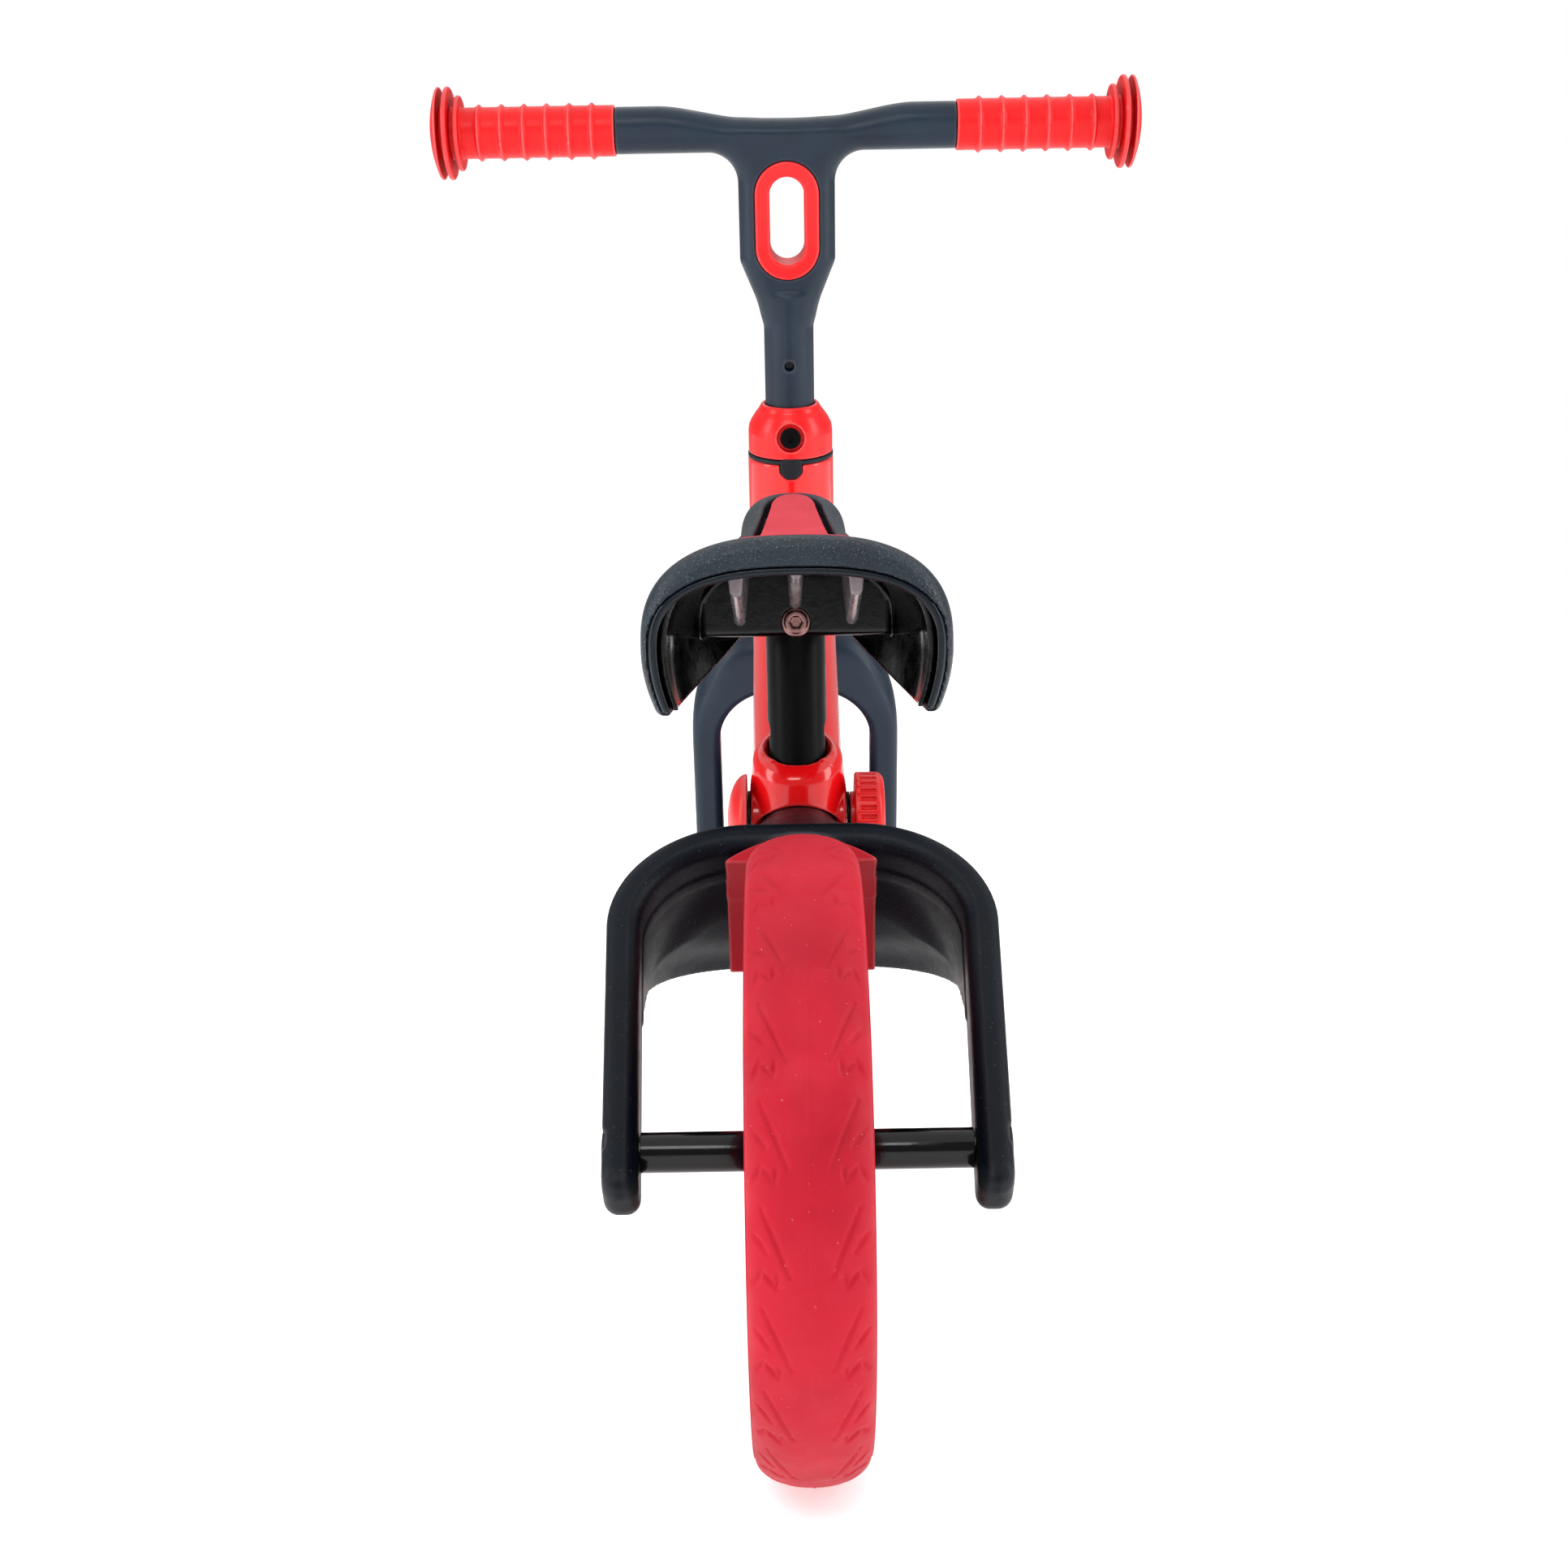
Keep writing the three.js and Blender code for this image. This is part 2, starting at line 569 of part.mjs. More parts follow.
function collarBolt() {
  const face = COLLAR_RADIUS - COLLAR_RECESS_DEPTH + GAP;
  const head = radialHole(COLLAR_RECESS_RADIUS - 2, COLLAR_BOLT_T, face, face + 3.4, 20);
  const socket = radialHole(2.6, COLLAR_BOLT_T, face + 1, face + 9, 6);
  const shank = radialHole(COLLAR_BOLT_RADIUS, COLLAR_BOLT_T, STEM_RADIUS + 0.6, face + 0.8, 16);
  return named('collar_bolt', cut(join(head, shank), socket), 'satin_black');
}

// ---- Handlebar ----
function ovalPath(path, halfWidth, halfHeight) {
  const straight = halfHeight - halfWidth;
  path.absarc(0, WINDOW_CENTRE + straight, halfWidth, 0, Math.PI);
  path.absarc(0, WINDOW_CENTRE - straight, halfWidth, Math.PI, 2 * Math.PI);
  path.closePath();
  return path;
}

function yokeOutline() {
  const top = BAR_HEIGHT + BAR_RADIUS;
  const under = BAR_HEIGHT - BAR_RADIUS;
  const halves = [1, -1].map((side) => (x, z) => new THREE.Vector2(side * x, z));
  const shape = new THREE.Shape();
  const [right, left] = halves;
  const go = (p) => shape.lineTo(p.x, p.y);
  const bend = (c, p) => shape.quadraticCurveTo(c.x, c.y, p.x, p.y);
  shape.moveTo(BAR_HALF, under);
  go(right(BAR_HALF, top));
  go(right(BAR_SHOULDER, top));
  shape.bezierCurveTo(46, top, 40, top - BAR_DIP, 0, top - BAR_DIP);
  shape.bezierCurveTo(-40, top - BAR_DIP, -46, top, -BAR_SHOULDER, top);
  go(left(BAR_HALF, top));
  go(left(BAR_HALF, under));
  go(left(YOKE_HALF + YOKE_FILLET, under));
  bend(left(YOKE_HALF, under), left(YOKE_HALF, under - YOKE_FILLET));
  go(left(YOKE_HALF, STEM_FLARE_HIGH + 4));
  bend(left(YOKE_HALF, STEM_FLARE_HIGH - 6), left((YOKE_HALF + STEM_RADIUS) / 2, STEM_FLARE_LOW + 14));
  bend(left(STEM_RADIUS, STEM_FLARE_LOW + 4), left(STEM_RADIUS, STEM_FLARE_LOW - 4));
  go(right(STEM_RADIUS, STEM_FLARE_LOW - 4));
  bend(right(STEM_RADIUS, STEM_FLARE_LOW + 4), right((YOKE_HALF + STEM_RADIUS) / 2, STEM_FLARE_LOW + 14));
  bend(right(YOKE_HALF, STEM_FLARE_HIGH - 6), right(YOKE_HALF, STEM_FLARE_HIGH + 4));
  go(right(YOKE_HALF, under - YOKE_FILLET));
  bend(right(YOKE_HALF, under), right(YOKE_HALF + YOKE_FILLET, under));
  return shape;
}

const BAR_LINE = new THREE.Matrix4().makeTranslation(0, 0, BAR_HEIGHT);

function handlebar() {
  const half = YOKE_DEPTH / 2;
  const yoke = plate(yokeOutline(), -half, half, 6, STEERING, STANDING);
  const stem = disc(STEM_RADIUS, STEM_BOTTOM, STEM_FLARE_LOW + 16, 18, STEERING, UPRIGHT);
  const coreEnd = BAR_HALF + GRIP_LENGTH - 2;
  const cores = [[-coreEnd, -BAR_SHOULDER], [BAR_SHOULDER, coreEnd]].map(([low, high]) => disc(
    GRIP_CORE_RADIUS, low, high, 12, STEERING, BAR_LINE, ACROSS));
  const ends = [[-BAR_HALF, -BAR_SHOULDER], [BAR_SHOULDER, BAR_HALF]].map(([low, high]) => disc(
    BAR_RADIUS + 0.6, low, high, 16, STEERING, BAR_LINE, ACROSS));
  const seat = ovalPath(new THREE.Shape(), WINDOW_HALF_WIDTH + TRIM_BORDER, WINDOW_HALF_HEIGHT + TRIM_BORDER);
  const bore = ovalPath(new THREE.Shape(), trimSleeve() + GAP, trimSleeve(WINDOW_HALF_HEIGHT) + GAP);
  const holes = [COLLAR_BOLT_T, COLLAR_BOLT_T + STEM_HOLE_PITCH].map((t) => radialHole(STEM_HOLE_RADIUS, t,
    STEM_RADIUS - 6, STEM_RADIUS + 3));
  const window = plate(bore, -half - 5, half + 5, 0, STEERING, STANDING);
  const body = cut(join(yoke, stem, ...cores, ...ends), window,
    ...[[half - TRIM_LIP, half + 5], [-half - 5, TRIM_LIP - half]].map(([low, high]) => plate(seat,
      low, high, 0, STEERING, STANDING)), ...holes);
  return named('handlebar', body, 'navy');
}

function trimSleeve(half = WINDOW_HALF_WIDTH) {
  return half + 2.2;
}

// The liner of the hand hole: a sleeve through the yoke with a raised ring on each face.
function handlebarTrim() {
  const half = YOKE_DEPTH / 2;
  const border = TRIM_BORDER - GAP;
  const face = ovalPath(new THREE.Shape(), WINDOW_HALF_WIDTH + border, WINDOW_HALF_HEIGHT + border);
  const sleeve = ovalPath(new THREE.Shape(), trimSleeve(), trimSleeve(WINDOW_HALF_HEIGHT));
  const hole = ovalPath(new THREE.Shape(), WINDOW_HALF_WIDTH, WINDOW_HALF_HEIGHT);
  const low = half - TRIM_LIP + GAP;
  const body = join(plate(sleeve, -half, half, 0, STEERING, STANDING),
    plate(face, low, half + 1.2, 0.6, STEERING, STANDING),
    plate(face, -half - 1.2, -low, 0.6, STEERING, STANDING));
  return named('handlebar_trim', cut(body, plate(hole, -half - 5, half + 5, 0, STEERING, STANDING)),
    'satin_red');
}

function gripProfile() {
  const inner = GRIP_CORE_RADIUS + GAP;
  const profile = [[inner, 0], [GRIP_RADIUS, 0]];
  const first = GRIP_RIB_PITCH;
  for (let i = 0; i < GRIP_RIBS; i += 1) {
    const middle = first + i * GRIP_RIB_PITCH;
    profile.push([GRIP_RADIUS, middle - GRIP_RIB_WIDTH / 2]);
    profile.push([GRIP_RADIUS + GRIP_RIB_HEIGHT, middle]);
    profile.push([GRIP_RADIUS, middle + GRIP_RIB_WIDTH / 2]);
  }
  const base = first + (GRIP_RIBS - 1) * GRIP_RIB_PITCH + 6.2;
  profile.push([GRIP_RADIUS, base]);
  FLANGE_RADII.forEach((radius, i) => {
    const low = base + 3.5 + i * FLANGE_PITCH;
    profile.push([GRIP_RADIUS + 1, low]);
    profile.push([radius, low - 0.6]);
    profile.push([radius, low + FLANGE_THICKNESS - 0.6]);
    profile.push([GRIP_RADIUS + 1, low + FLANGE_THICKNESS]);
  });
  const last = base + 3.5 + (FLANGE_RADII.length - 1) * FLANGE_PITCH;
  profile.splice(profile.length - 2, 2, [FLANGE_RADII[2], last + 1], [FLANGE_RADII[2] * 0.6,
    last + GRIP_DOME * 0.8], [0, last + GRIP_DOME + 1]);
  profile.push([0, GRIP_LENGTH], [inner, GRIP_LENGTH]);
  return profile;
}

function grip(side, sign) {
  const turn = new THREE.Matrix4().makeRotationZ(sign > 0 ? 0 : Math.PI);
  const place = [STEERING, BAR_LINE, turn, at(BAR_HALF + GAP, 0, 0), ACROSS];
  return named(`grip_${side}`, ring(gripProfile(), 12, ...place), 'satin_red');
}

// ---- Main frame ----
function axisPoint(t) {
  return new THREE.Vector3(0, 0, t).applyMatrix4(STEERING);
}

const MAIN_TUBE_START = new THREE.Vector3(0, SEAT_TUBE_Y, MAIN_TUBE_SEAT_Z);
const MAIN_TUBE_END = axisPoint(MAIN_TUBE_HEAD_T);
const MAIN_TUBE_LENGTH = MAIN_TUBE_START.distanceTo(MAIN_TUBE_END);

// Places a body turned about Y so that it starts at the seat tube and points to the head tube.
function alongMainTube() {
  const direction = MAIN_TUBE_END.clone().sub(MAIN_TUBE_START).normalize();
  const turn = new THREE.Quaternion().setFromUnitVectors(new THREE.Vector3(0, 1, 0), direction);
  return new THREE.Matrix4().compose(MAIN_TUBE_START, turn, new THREE.Vector3(1, 1, 1));
}

const SEAT_AXIS = at(0, SEAT_TUBE_Y, 0);
const HOOD_Y = REAR_AXLE.y + 115.5;

function mainFrame() {
  const main = alongMainTube();
  const flare = MAIN_TUBE_LENGTH - HEAD_TUBE_RADIUS - MAIN_TUBE_FILLET;
  const filletStep = (k) => [MAIN_TUBE_HEAD_RADIUS + MAIN_TUBE_FILLET * (1 - Math.sqrt(1 - k * k)) * 0.8,
    flare + k * MAIN_TUBE_FILLET];
  const shell = turned([[0, 0], [MAIN_TUBE_SEAT_RADIUS, 0], filletStep(0), filletStep(0.6), filletStep(0.85),
    [filletStep(0.85)[0], MAIN_TUBE_LENGTH - HEAD_TUBE_RADIUS * 0.5], [0, MAIN_TUBE_LENGTH]], 18, main);
  const headTube = disc(HEAD_TUBE_RADIUS, HEAD_TUBE_LOW, HEAD_TUBE_HIGH, 20, STEERING, UPRIGHT);
  const seatTube = disc(SEAT_TUBE_RADIUS, SEAT_TUBE_LOW, SEAT_TUBE_HIGH, 20, SEAT_AXIS, UPRIGHT);
  const pads = disc(WASHER_RADIUS + GAP, -SEAT_TUBE_RADIUS - PAD_PROUD, SEAT_TUBE_RADIUS + PAD_PROUD, 32,
    at(0, SEAT_TUBE_Y, CLAMP_Z), ACROSS);
  const hollow = turned([[0, 0], [SEAT_TUBE_RADIUS - SEAT_TUBE_WALL - 2, 0],
    [MAIN_TUBE_HEAD_RADIUS - MAIN_TUBE_WALL - 1.5, MAIN_TUBE_LENGTH], [0, MAIN_TUBE_LENGTH]], 18, main);
  const headBore = disc(HEAD_TUBE_RADIUS - HEAD_TUBE_WALL, HEAD_TUBE_LOW - 9, HEAD_TUBE_HIGH + 9, 32,
    STEERING, UPRIGHT);
  const seatBore = turned([[0, SEAT_TUBE_LOW - 9], [SEAT_TUBE_RADIUS - SEAT_TUBE_WALL, SEAT_TUBE_LOW - 9],
    [SEAT_TUBE_RADIUS - SEAT_TUBE_WALL, SLEEVE_HIGH + GAP], [MOUTH_RADIUS, SLEEVE_HIGH + GAP],
    [MOUTH_RADIUS, SEAT_TUBE_HIGH + 40], [0, SEAT_TUBE_HIGH + 40]], 32, SEAT_AXIS, UPRIGHT);
  const bolt = disc(CLAMP_BOLT_RADIUS + GAP, -40, 40, 16, at(0, SEAT_TUBE_Y, CLAMP_Z), ACROSS);
  const body = cut(join(shell, headTube, seatTube, pads), hollow, headBore, seatBore, bolt, keyTab(GAP),
    neckNotch(), forkScrewBody(GAP));
  return named('main_frame', body, 'frame_red');
}

// The arch-topped notch in the back of the seat tube that the rear fork's neck slides up into.
function neckNotch() {
  const back = [SEAT_TUBE_Y - 60, SEAT_TUBE_Y - 6];
  const radius = NECK_RADIUS + GAP;
  const centre = NECK_TOP - NECK_RADIUS;
  return join(
    disc(radius, back[0], back[1], 32, at(0, 0, centre)),
    block([-radius, radius], back, [SEAT_TUBE_LOW - 9, centre]),
  );
}

// The screw through the front of the seat tube that holds the rear fork's sleeve.
function forkScrewBody(margin) {
  const place = at(0, SEAT_TUBE_Y, SEAT_TUBE_LOW + 8);
  const outer = SEAT_TUBE_RADIUS + 0.6;
  return join(
    disc(2 + margin, SLEEVE_RADIUS - 2.6 - margin, outer, 16, place),
    disc(4 + margin, outer - 2.2 - margin, outer + margin, 20, place),
  );
}

function forkScrew() {
  const outer = SEAT_TUBE_RADIUS + 0.6;
  const slot = block([-2.6, 2.6], [outer - 1, outer + 4], [-0.5, 0.5], at(0, SEAT_TUBE_Y, SEAT_TUBE_LOW + 8));
  return named('rear_fork_screw', cut(forkScrewBody(0), slot), 'steel');
}

// ---- Rear fork: a hoop in the plane of the arms, a hood ahead of the wheel, a neck and a sleeve ----
function hoopOutline(inset) {
  const shape = new THREE.Shape();
  const foot = -REAR_ARM_END;
  const lean = (REAR_SHOULDER_HALF - REAR_AXLE_HALF) / REAR_SHOULDER_L;
  const low = REAR_AXLE_HALF + lean * foot - inset;
  const shoulder = REAR_SHOULDER_HALF - inset;
  const crown = REAR_CROWN_L - inset;
  shape.moveTo(low, foot);
  shape.lineTo(shoulder, REAR_SHOULDER_L);
  shape.absellipse(REAR_CROWN_FLAT, REAR_SHOULDER_L, shoulder - REAR_CROWN_FLAT, crown - REAR_SHOULDER_L,
    0, Math.PI / 2);
  shape.absellipse(-REAR_CROWN_FLAT, REAR_SHOULDER_L, shoulder - REAR_CROWN_FLAT, crown - REAR_SHOULDER_L,
    Math.PI / 2, Math.PI);
  shape.lineTo(-low, foot);
  return shape;
}

// The band between two hoop outlines, drawn as one U.
function hoopBand(outerInset, innerInset) {
  const outer = hoopOutline(outerInset).getPoints(4);
  const inner = hoopOutline(innerInset).getPoints(4).reverse();
  return new THREE.Shape([...outer, ...inner]);
}

function guardArch(margin) {
  const half = GUARD_HALF + margin;
  const side = REAR_CROWN_L - GUARD_CROWN_WALL - GUARD_ARCH + margin;
  const shape = new THREE.Shape();
  shape.moveTo(half, side - 10);
  shape.lineTo(half, side);
  shape.quadraticCurveTo(half / 2, side + GUARD_ARCH, 0, side + GUARD_ARCH);
  shape.quadraticCurveTo(-half / 2, side + GUARD_ARCH, -half, side);
  shape.lineTo(-half, side - 10);
  return shape;
}

function neckRings() {
  const stations = [
    { y: SEAT_TUBE_Y - 12, half: 16.5, top: NECK_TOP, low: NECK_LOW, bend: 1 },
    { y: SEAT_TUBE_Y - SEAT_TUBE_RADIUS, half: SEAT_TUBE_RADIUS - 0.5, top: NECK_TOP, low: NECK_LOW,
      bend: 1 },
    { y: mix(SEAT_TUBE_Y, HOOD_Y, 0.5), half: 27, top: NECK_TOP - 1, low: NECK_LOW - 3, bend: 1.5 },
    { y: mix(SEAT_TUBE_Y, HOOD_Y, 0.82), half: 44, top: NECK_TOP - 2, low: NECK_LOW - 8, bend: 2 },
    { y: HOOD_Y, half: 50, top: NECK_TOP - 7, low: NECK_LOW + 2, bend: 2.4 },
  ];
  return stations.map(({ y, half, top, low, bend }) => {
    const points = [];
    for (let i = 0; i < 20; i += 1) {
      const angle = (2 * Math.PI * i) / 20;
      const square = (v) => Math.sign(v) * Math.abs(v) ** 0.7;
      const arch = square(Math.sin(angle));
      const x = half * square(Math.cos(angle));
      const radius = NECK_RADIUS * bend;
      const drop = radius - Math.sqrt(Math.max(0, radius ** 2 - x ** 2));
      const z = arch > 0 ? mix((top + low) / 2, top - drop, arch) : mix((top + low) / 2, low, -arch);
      points.push(new THREE.Vector3(x, y, z));
    }
    return points;
  });
}

function rearFork() {
  const half = REAR_ARM_DEPTH / 2;
  const hoop = plate(hoopBand(0, REAR_ARM_WALL), -half, half, 5, REAR_ARM);
  const hood = plate(hoopBand(REAR_ARM_WALL - HOOD_WALL, REAR_ARM_WALL), -HOOD_REACH, 6 - half, 0, REAR_ARM);
  const above = block([-200, 200], [REAR_AXLE.y + HOOD_START, 0], [HOOD_BOTTOM, 400]);
  const roundWheel = disc(WHEEL_RADIUS + GUARD_CLEARANCE + GUARD_THICKNESS + 2 * GAP,
    -GUARD_HALF - GAP, GUARD_HALF + GAP, 48, at(REAR_AXLE.x, REAR_AXLE.y, REAR_AXLE.z), ACROSS);
  const sleeveHole = disc(POST_RADIUS + RUN, 100, 300, 18, SEAT_AXIS, UPRIGHT);
  const sleeve = disc(SLEEVE_RADIUS, SEAT_TUBE_LOW, SLEEVE_HIGH, 18, SEAT_AXIS, UPRIGHT);
  const wheelRoom = plate(hoopOutline(REAR_ARM_WALL), -HOOD_REACH - 20, half, 0, REAR_ARM);
  const neck = cut(skin(neckRings()), wheelRoom);
  const bolt = disc(CLAMP_BOLT_RADIUS + GAP, -40, 40, 16, at(0, SEAT_TUBE_Y, CLAMP_Z), ACROSS);
  const body = cut(join(hoop, hood.intersect(above), neck, sleeve), roundWheel, sleeveHole, bolt,
    forkScrewBody(GAP),
    plate(guardArch(GAP), -INSERT_REACH, half + 9, 0, REAR_ARM), axleHoles(REAR_AXLE, REAR_AXLE_HALF));
  return named('rear_fork', body, 'dark_navy');
}

// The mudguard insert: a strip curved round the tyre, with an arched head that fills the crown.
function mudguard() {
  const near = WHEEL_RADIUS + GUARD_CLEARANCE;
  const place = at(REAR_AXLE.x, REAR_AXLE.y, REAR_AXLE.z);
  const curved = tube(near + GUARD_THICKNESS, near, -GUARD_HALF, GUARD_HALF, 96, place, ACROSS);
  const sector = block([-100, 100], [0, 200], [GUARD_BOTTOM - REAR_AXLE.z, 79],
    at(0, REAR_AXLE.y, REAR_AXLE.z));
  const half = REAR_ARM_DEPTH / 2;
  const head = plate(guardArch(0), -half, half - 2, 0, REAR_ARM);
  const hollow = disc(near, -100, 100, 96, place, ACROSS);
  return named('rear_mudguard', cut(join(curved.intersect(sector), head), hollow), 'satin_red');
}

// ---- Seat post, its clamp and the saddle ----
function seatPost() {
  const wall = tube(POST_RADIUS, POST_RADIUS - POST_WALL, POST_LOW, POST_HIGH, 18, SEAT_AXIS, UPRIGHT);
  const [first, last] = [POST_STATIONS[0], POST_STATIONS[POST_STATIONS.length - 1]];
  const slot = block([-20, 20], [-POST_SLOT_HALF, POST_SLOT_HALF], [CLAMP_Z + first, CLAMP_Z + last],
    SEAT_AXIS);
  const stations = POST_STATIONS.map((z) => disc(POST_STATION_RADIUS, -20, 20, 10,
    at(0, SEAT_TUBE_Y, CLAMP_Z + z), ACROSS));
  const cross = disc(SEAT_BOLT_RADIUS + GAP, -20, 20, 16, at(0, SEAT_TUBE_Y, SEAT_BOLT_Z));
  return named('seat_post', cut(wall, slot, ...stations, cross), 'satin_black');
}

const CLAMP_AXIS = at(0, SEAT_TUBE_Y, CLAMP_Z);

function seatKnob() {
  const grip = turned([[0, KNOB_IN_X], [KNOB_RADIUS - 0.6, KNOB_IN_X], [KNOB_RADIUS, KNOB_IN_X + 0.6],
    [KNOB_RADIUS, KNOB_OUT_X - 3], [KNOB_RADIUS - 2.5, KNOB_OUT_X - 0.6], [KNOB_RADIUS - 6, KNOB_OUT_X],
    [0, KNOB_OUT_X]], 18, CLAMP_AXIS, ACROSS);
  const hub = disc(KNOB_HUB_RADIUS, KNOB_HUB_X + WASHER_THICKNESS + GAP, KNOB_IN_X + 1, 18,
    CLAMP_AXIS, ACROSS);
  const bore = disc(CLAMP_BOLT_RADIUS + RUN, 0, KNOB_OUT_X - 4, 20, CLAMP_AXIS, ACROSS);
  const flutes = [];
  for (let i = 0; i < KNOB_FLUTES; i += 1) {
    const turn = new THREE.Matrix4().makeRotationX((2 * Math.PI * i) / KNOB_FLUTES);
    flutes.push(disc(KNOB_FLUTE_RADIUS, KNOB_IN_X + 2, KNOB_OUT_X - 3.5, 4, CLAMP_AXIS, turn,
      at(0, 0, KNOB_RADIUS + 0.2), ACROSS));
  }
  return named('seat_knob', cut(join(grip, hub), bore, ...flutes), 'satin_red');
}

function knobWasher() {
  return named('knob_washer', tube(KNOB_HUB_RADIUS, CLAMP_BOLT_RADIUS + RUN, KNOB_HUB_X,
    KNOB_HUB_X + WASHER_THICKNESS, 20, CLAMP_AXIS, ACROSS), 'steel');
}

function knobBolt() {
  const shank = disc(CLAMP_BOLT_RADIUS, -CAP_IN_X - 3, KNOB_OUT_X - 7, 20, CLAMP_AXIS, ACROSS);
  const head = disc(5, -CAP_IN_X - 5, -CAP_IN_X - 1, 6, CLAMP_AXIS, ACROSS);
  return named('knob_bolt', join(shank, head), 'steel');
}

// The domed cap on the left that hides the head of the clamp bolt.
function knobCap() {
  const [face, far] = [-CAP_IN_X, -CAP_IN_X - CAP_DOME];
  const dome = [0, 0.35, 0.65, 0.88, 1].map((k) => [KNOB_RADIUS * Math.cos((1 - k) * Math.PI / 2) ** 0.9,
    mix(far, face - 0.8, 1 - Math.cos(k * Math.PI / 2))]);
  const body = turned([...dome, [KNOB_RADIUS, face], [0, face]], 18, CLAMP_AXIS, ACROSS);
  const pocket = disc(5 + GAP, -CAP_IN_X - 5 - GAP, 0, 6, CLAMP_AXIS, ACROSS);
  return named('knob_cap_left', cut(body, pocket), 'satin_red');
}

function capWasher() {
  const low = -CAP_IN_X + GAP;
  return named('cap_washer', tube(WASHER_RADIUS, CLAMP_BOLT_RADIUS + GAP, low,
    low + WASHER_THICKNESS, 20, CLAMP_AXIS, ACROSS), 'satin_black');
}

// The saddle at a station s from 0 at the back to 1 at the nose: half width, top and skirt tip.
function saddleStation(s) {
  const waist = smooth(THREE.MathUtils.clamp((s - 0.1) / 0.62, 0, 1));
  const noseRound = Math.sqrt(Math.max(0.02, 1 - Math.max(0, (s - 0.88) / 0.12) ** 2));
  const rearRound = 1 - 0.05 * Math.max(0, 1 - s / 0.08) ** 2;
  const half = mix(SADDLE_REAR_HALF, SADDLE_NOSE_HALF, waist) * noseRound * rearRound;
  const rise = smooth(THREE.MathUtils.clamp((s - 0.3) / 0.6, 0, 1));
  const noseTip = smooth(THREE.MathUtils.clamp((s - 0.6) / 0.4, 0, 1));
  const tip = mix(mix(SADDLE_TIP_REAR, SADDLE_TIP_WAIST, waist), SADDLE_TIP_NOSE, noseTip);
  const top = mix(SADDLE_REAR_TOP, SADDLE_NOSE_TOP, rise);
  return { y: mix(SADDLE_REAR, SADDLE_NOSE, s), half, tip, top: mix(tip + 4, top, noseRound) };
}

// The arch of one station, from the left tip over the top to the right tip, moved in by an inset.
function saddleArch(station, inset, steps, foot = 0) {
  const centre = mix(station.tip, station.top, 0.37);
  const half = station.half - inset;
  const rise = station.top - inset - centre;
  const points = [];
  for (let i = 0; i <= steps; i += 1) {
    const angle = Math.PI * (1 - i / steps);
    const power = 2 / ARCH_POWER;
    points.push(new THREE.Vector3(Math.sign(Math.cos(angle)) * half * Math.abs(Math.cos(angle)) ** power,
      station.y, centre + rise * Math.abs(Math.sin(angle)) ** power));
  }
  const lean = 0.1;
  for (const depth of [0.5, 1]) {
    const z = mix(centre, station.tip + foot, depth);
    const x = half * (1 - lean * depth * depth);
    points.unshift(new THREE.Vector3(-x, station.y, z));
    points.push(new THREE.Vector3(x, station.y, z));
  }
  return points;
}

const SADDLE_STATIONS = [0, 0.08, 0.2, 0.32, 0.42, 0.52, 0.62, 0.74, 0.84, 0.92, 0.96, 0.985];

// A vault between two insets of the saddle's arch, open underneath and at the back.
function saddleVault(outer, inner, stations, foot = 0) {
  return skin(stations.map((s) => {
    const station = saddleStation(s);
    return [...saddleArch(station, outer, 10, foot), ...saddleArch(station, inner, 10, foot).reverse()];
  }));
}

// The pad's plan: the same outline with a margin cuts the pocket that the pad lies in.
function padBody(margin) {
  const outline = (s) => mix(PAD_REAR_HALF, PAD_NOSE_HALF, Math.min(s / PAD_TAPER_S, 1))
    * Math.sqrt(Math.max(0.1, 1 - Math.max(0, (s - PAD_TAPER_S) / (PAD_END_S - PAD_TAPER_S)) ** 2));
  const stations = [0.035, 0.1, 0.2, 0.3, 0.4, 0.5, 0.6, PAD_TAPER_S, 0.76, 0.8, PAD_END_S];
  return skin(stations.map((s, row) => {
    const end = (row === 0 ? -margin : 0) + (row === stations.length - 1 ? margin : 0);
    const station = saddleStation(s);
    const half = outline(s) + margin;
    const centre = mix(station.tip, station.top, 0.37);
    const surface = (x) => centre + (station.top - centre)
      * (1 - (Math.abs(x) / station.half) ** ARCH_POWER) ** (1 / ARCH_POWER);
    const across = [-1, -0.75, -0.4, 0, 0.4, 0.75, 1].map((k) => k * half);
    const upper = across.map((x) => new THREE.Vector3(x, station.y + end, surface(x) + 0.8 + margin * 20));
    const lower = across.map((x) => new THREE.Vector3(x, station.y + end,
      surface(x) - PAD_THICKNESS + 2.6 - margin)).reverse();
    return [...upper, ...lower];
  }));
}

function seatRim() {
  const shell = saddleVault(0, SHELL_WALL + 1.5, SADDLE_STATIONS);
  return named('seat_rim', cut(shell, padBody(GAP)), 'slate');
}

function seatPad() {
  return named('seat_pad', padBody(0), 'pad_red');
}

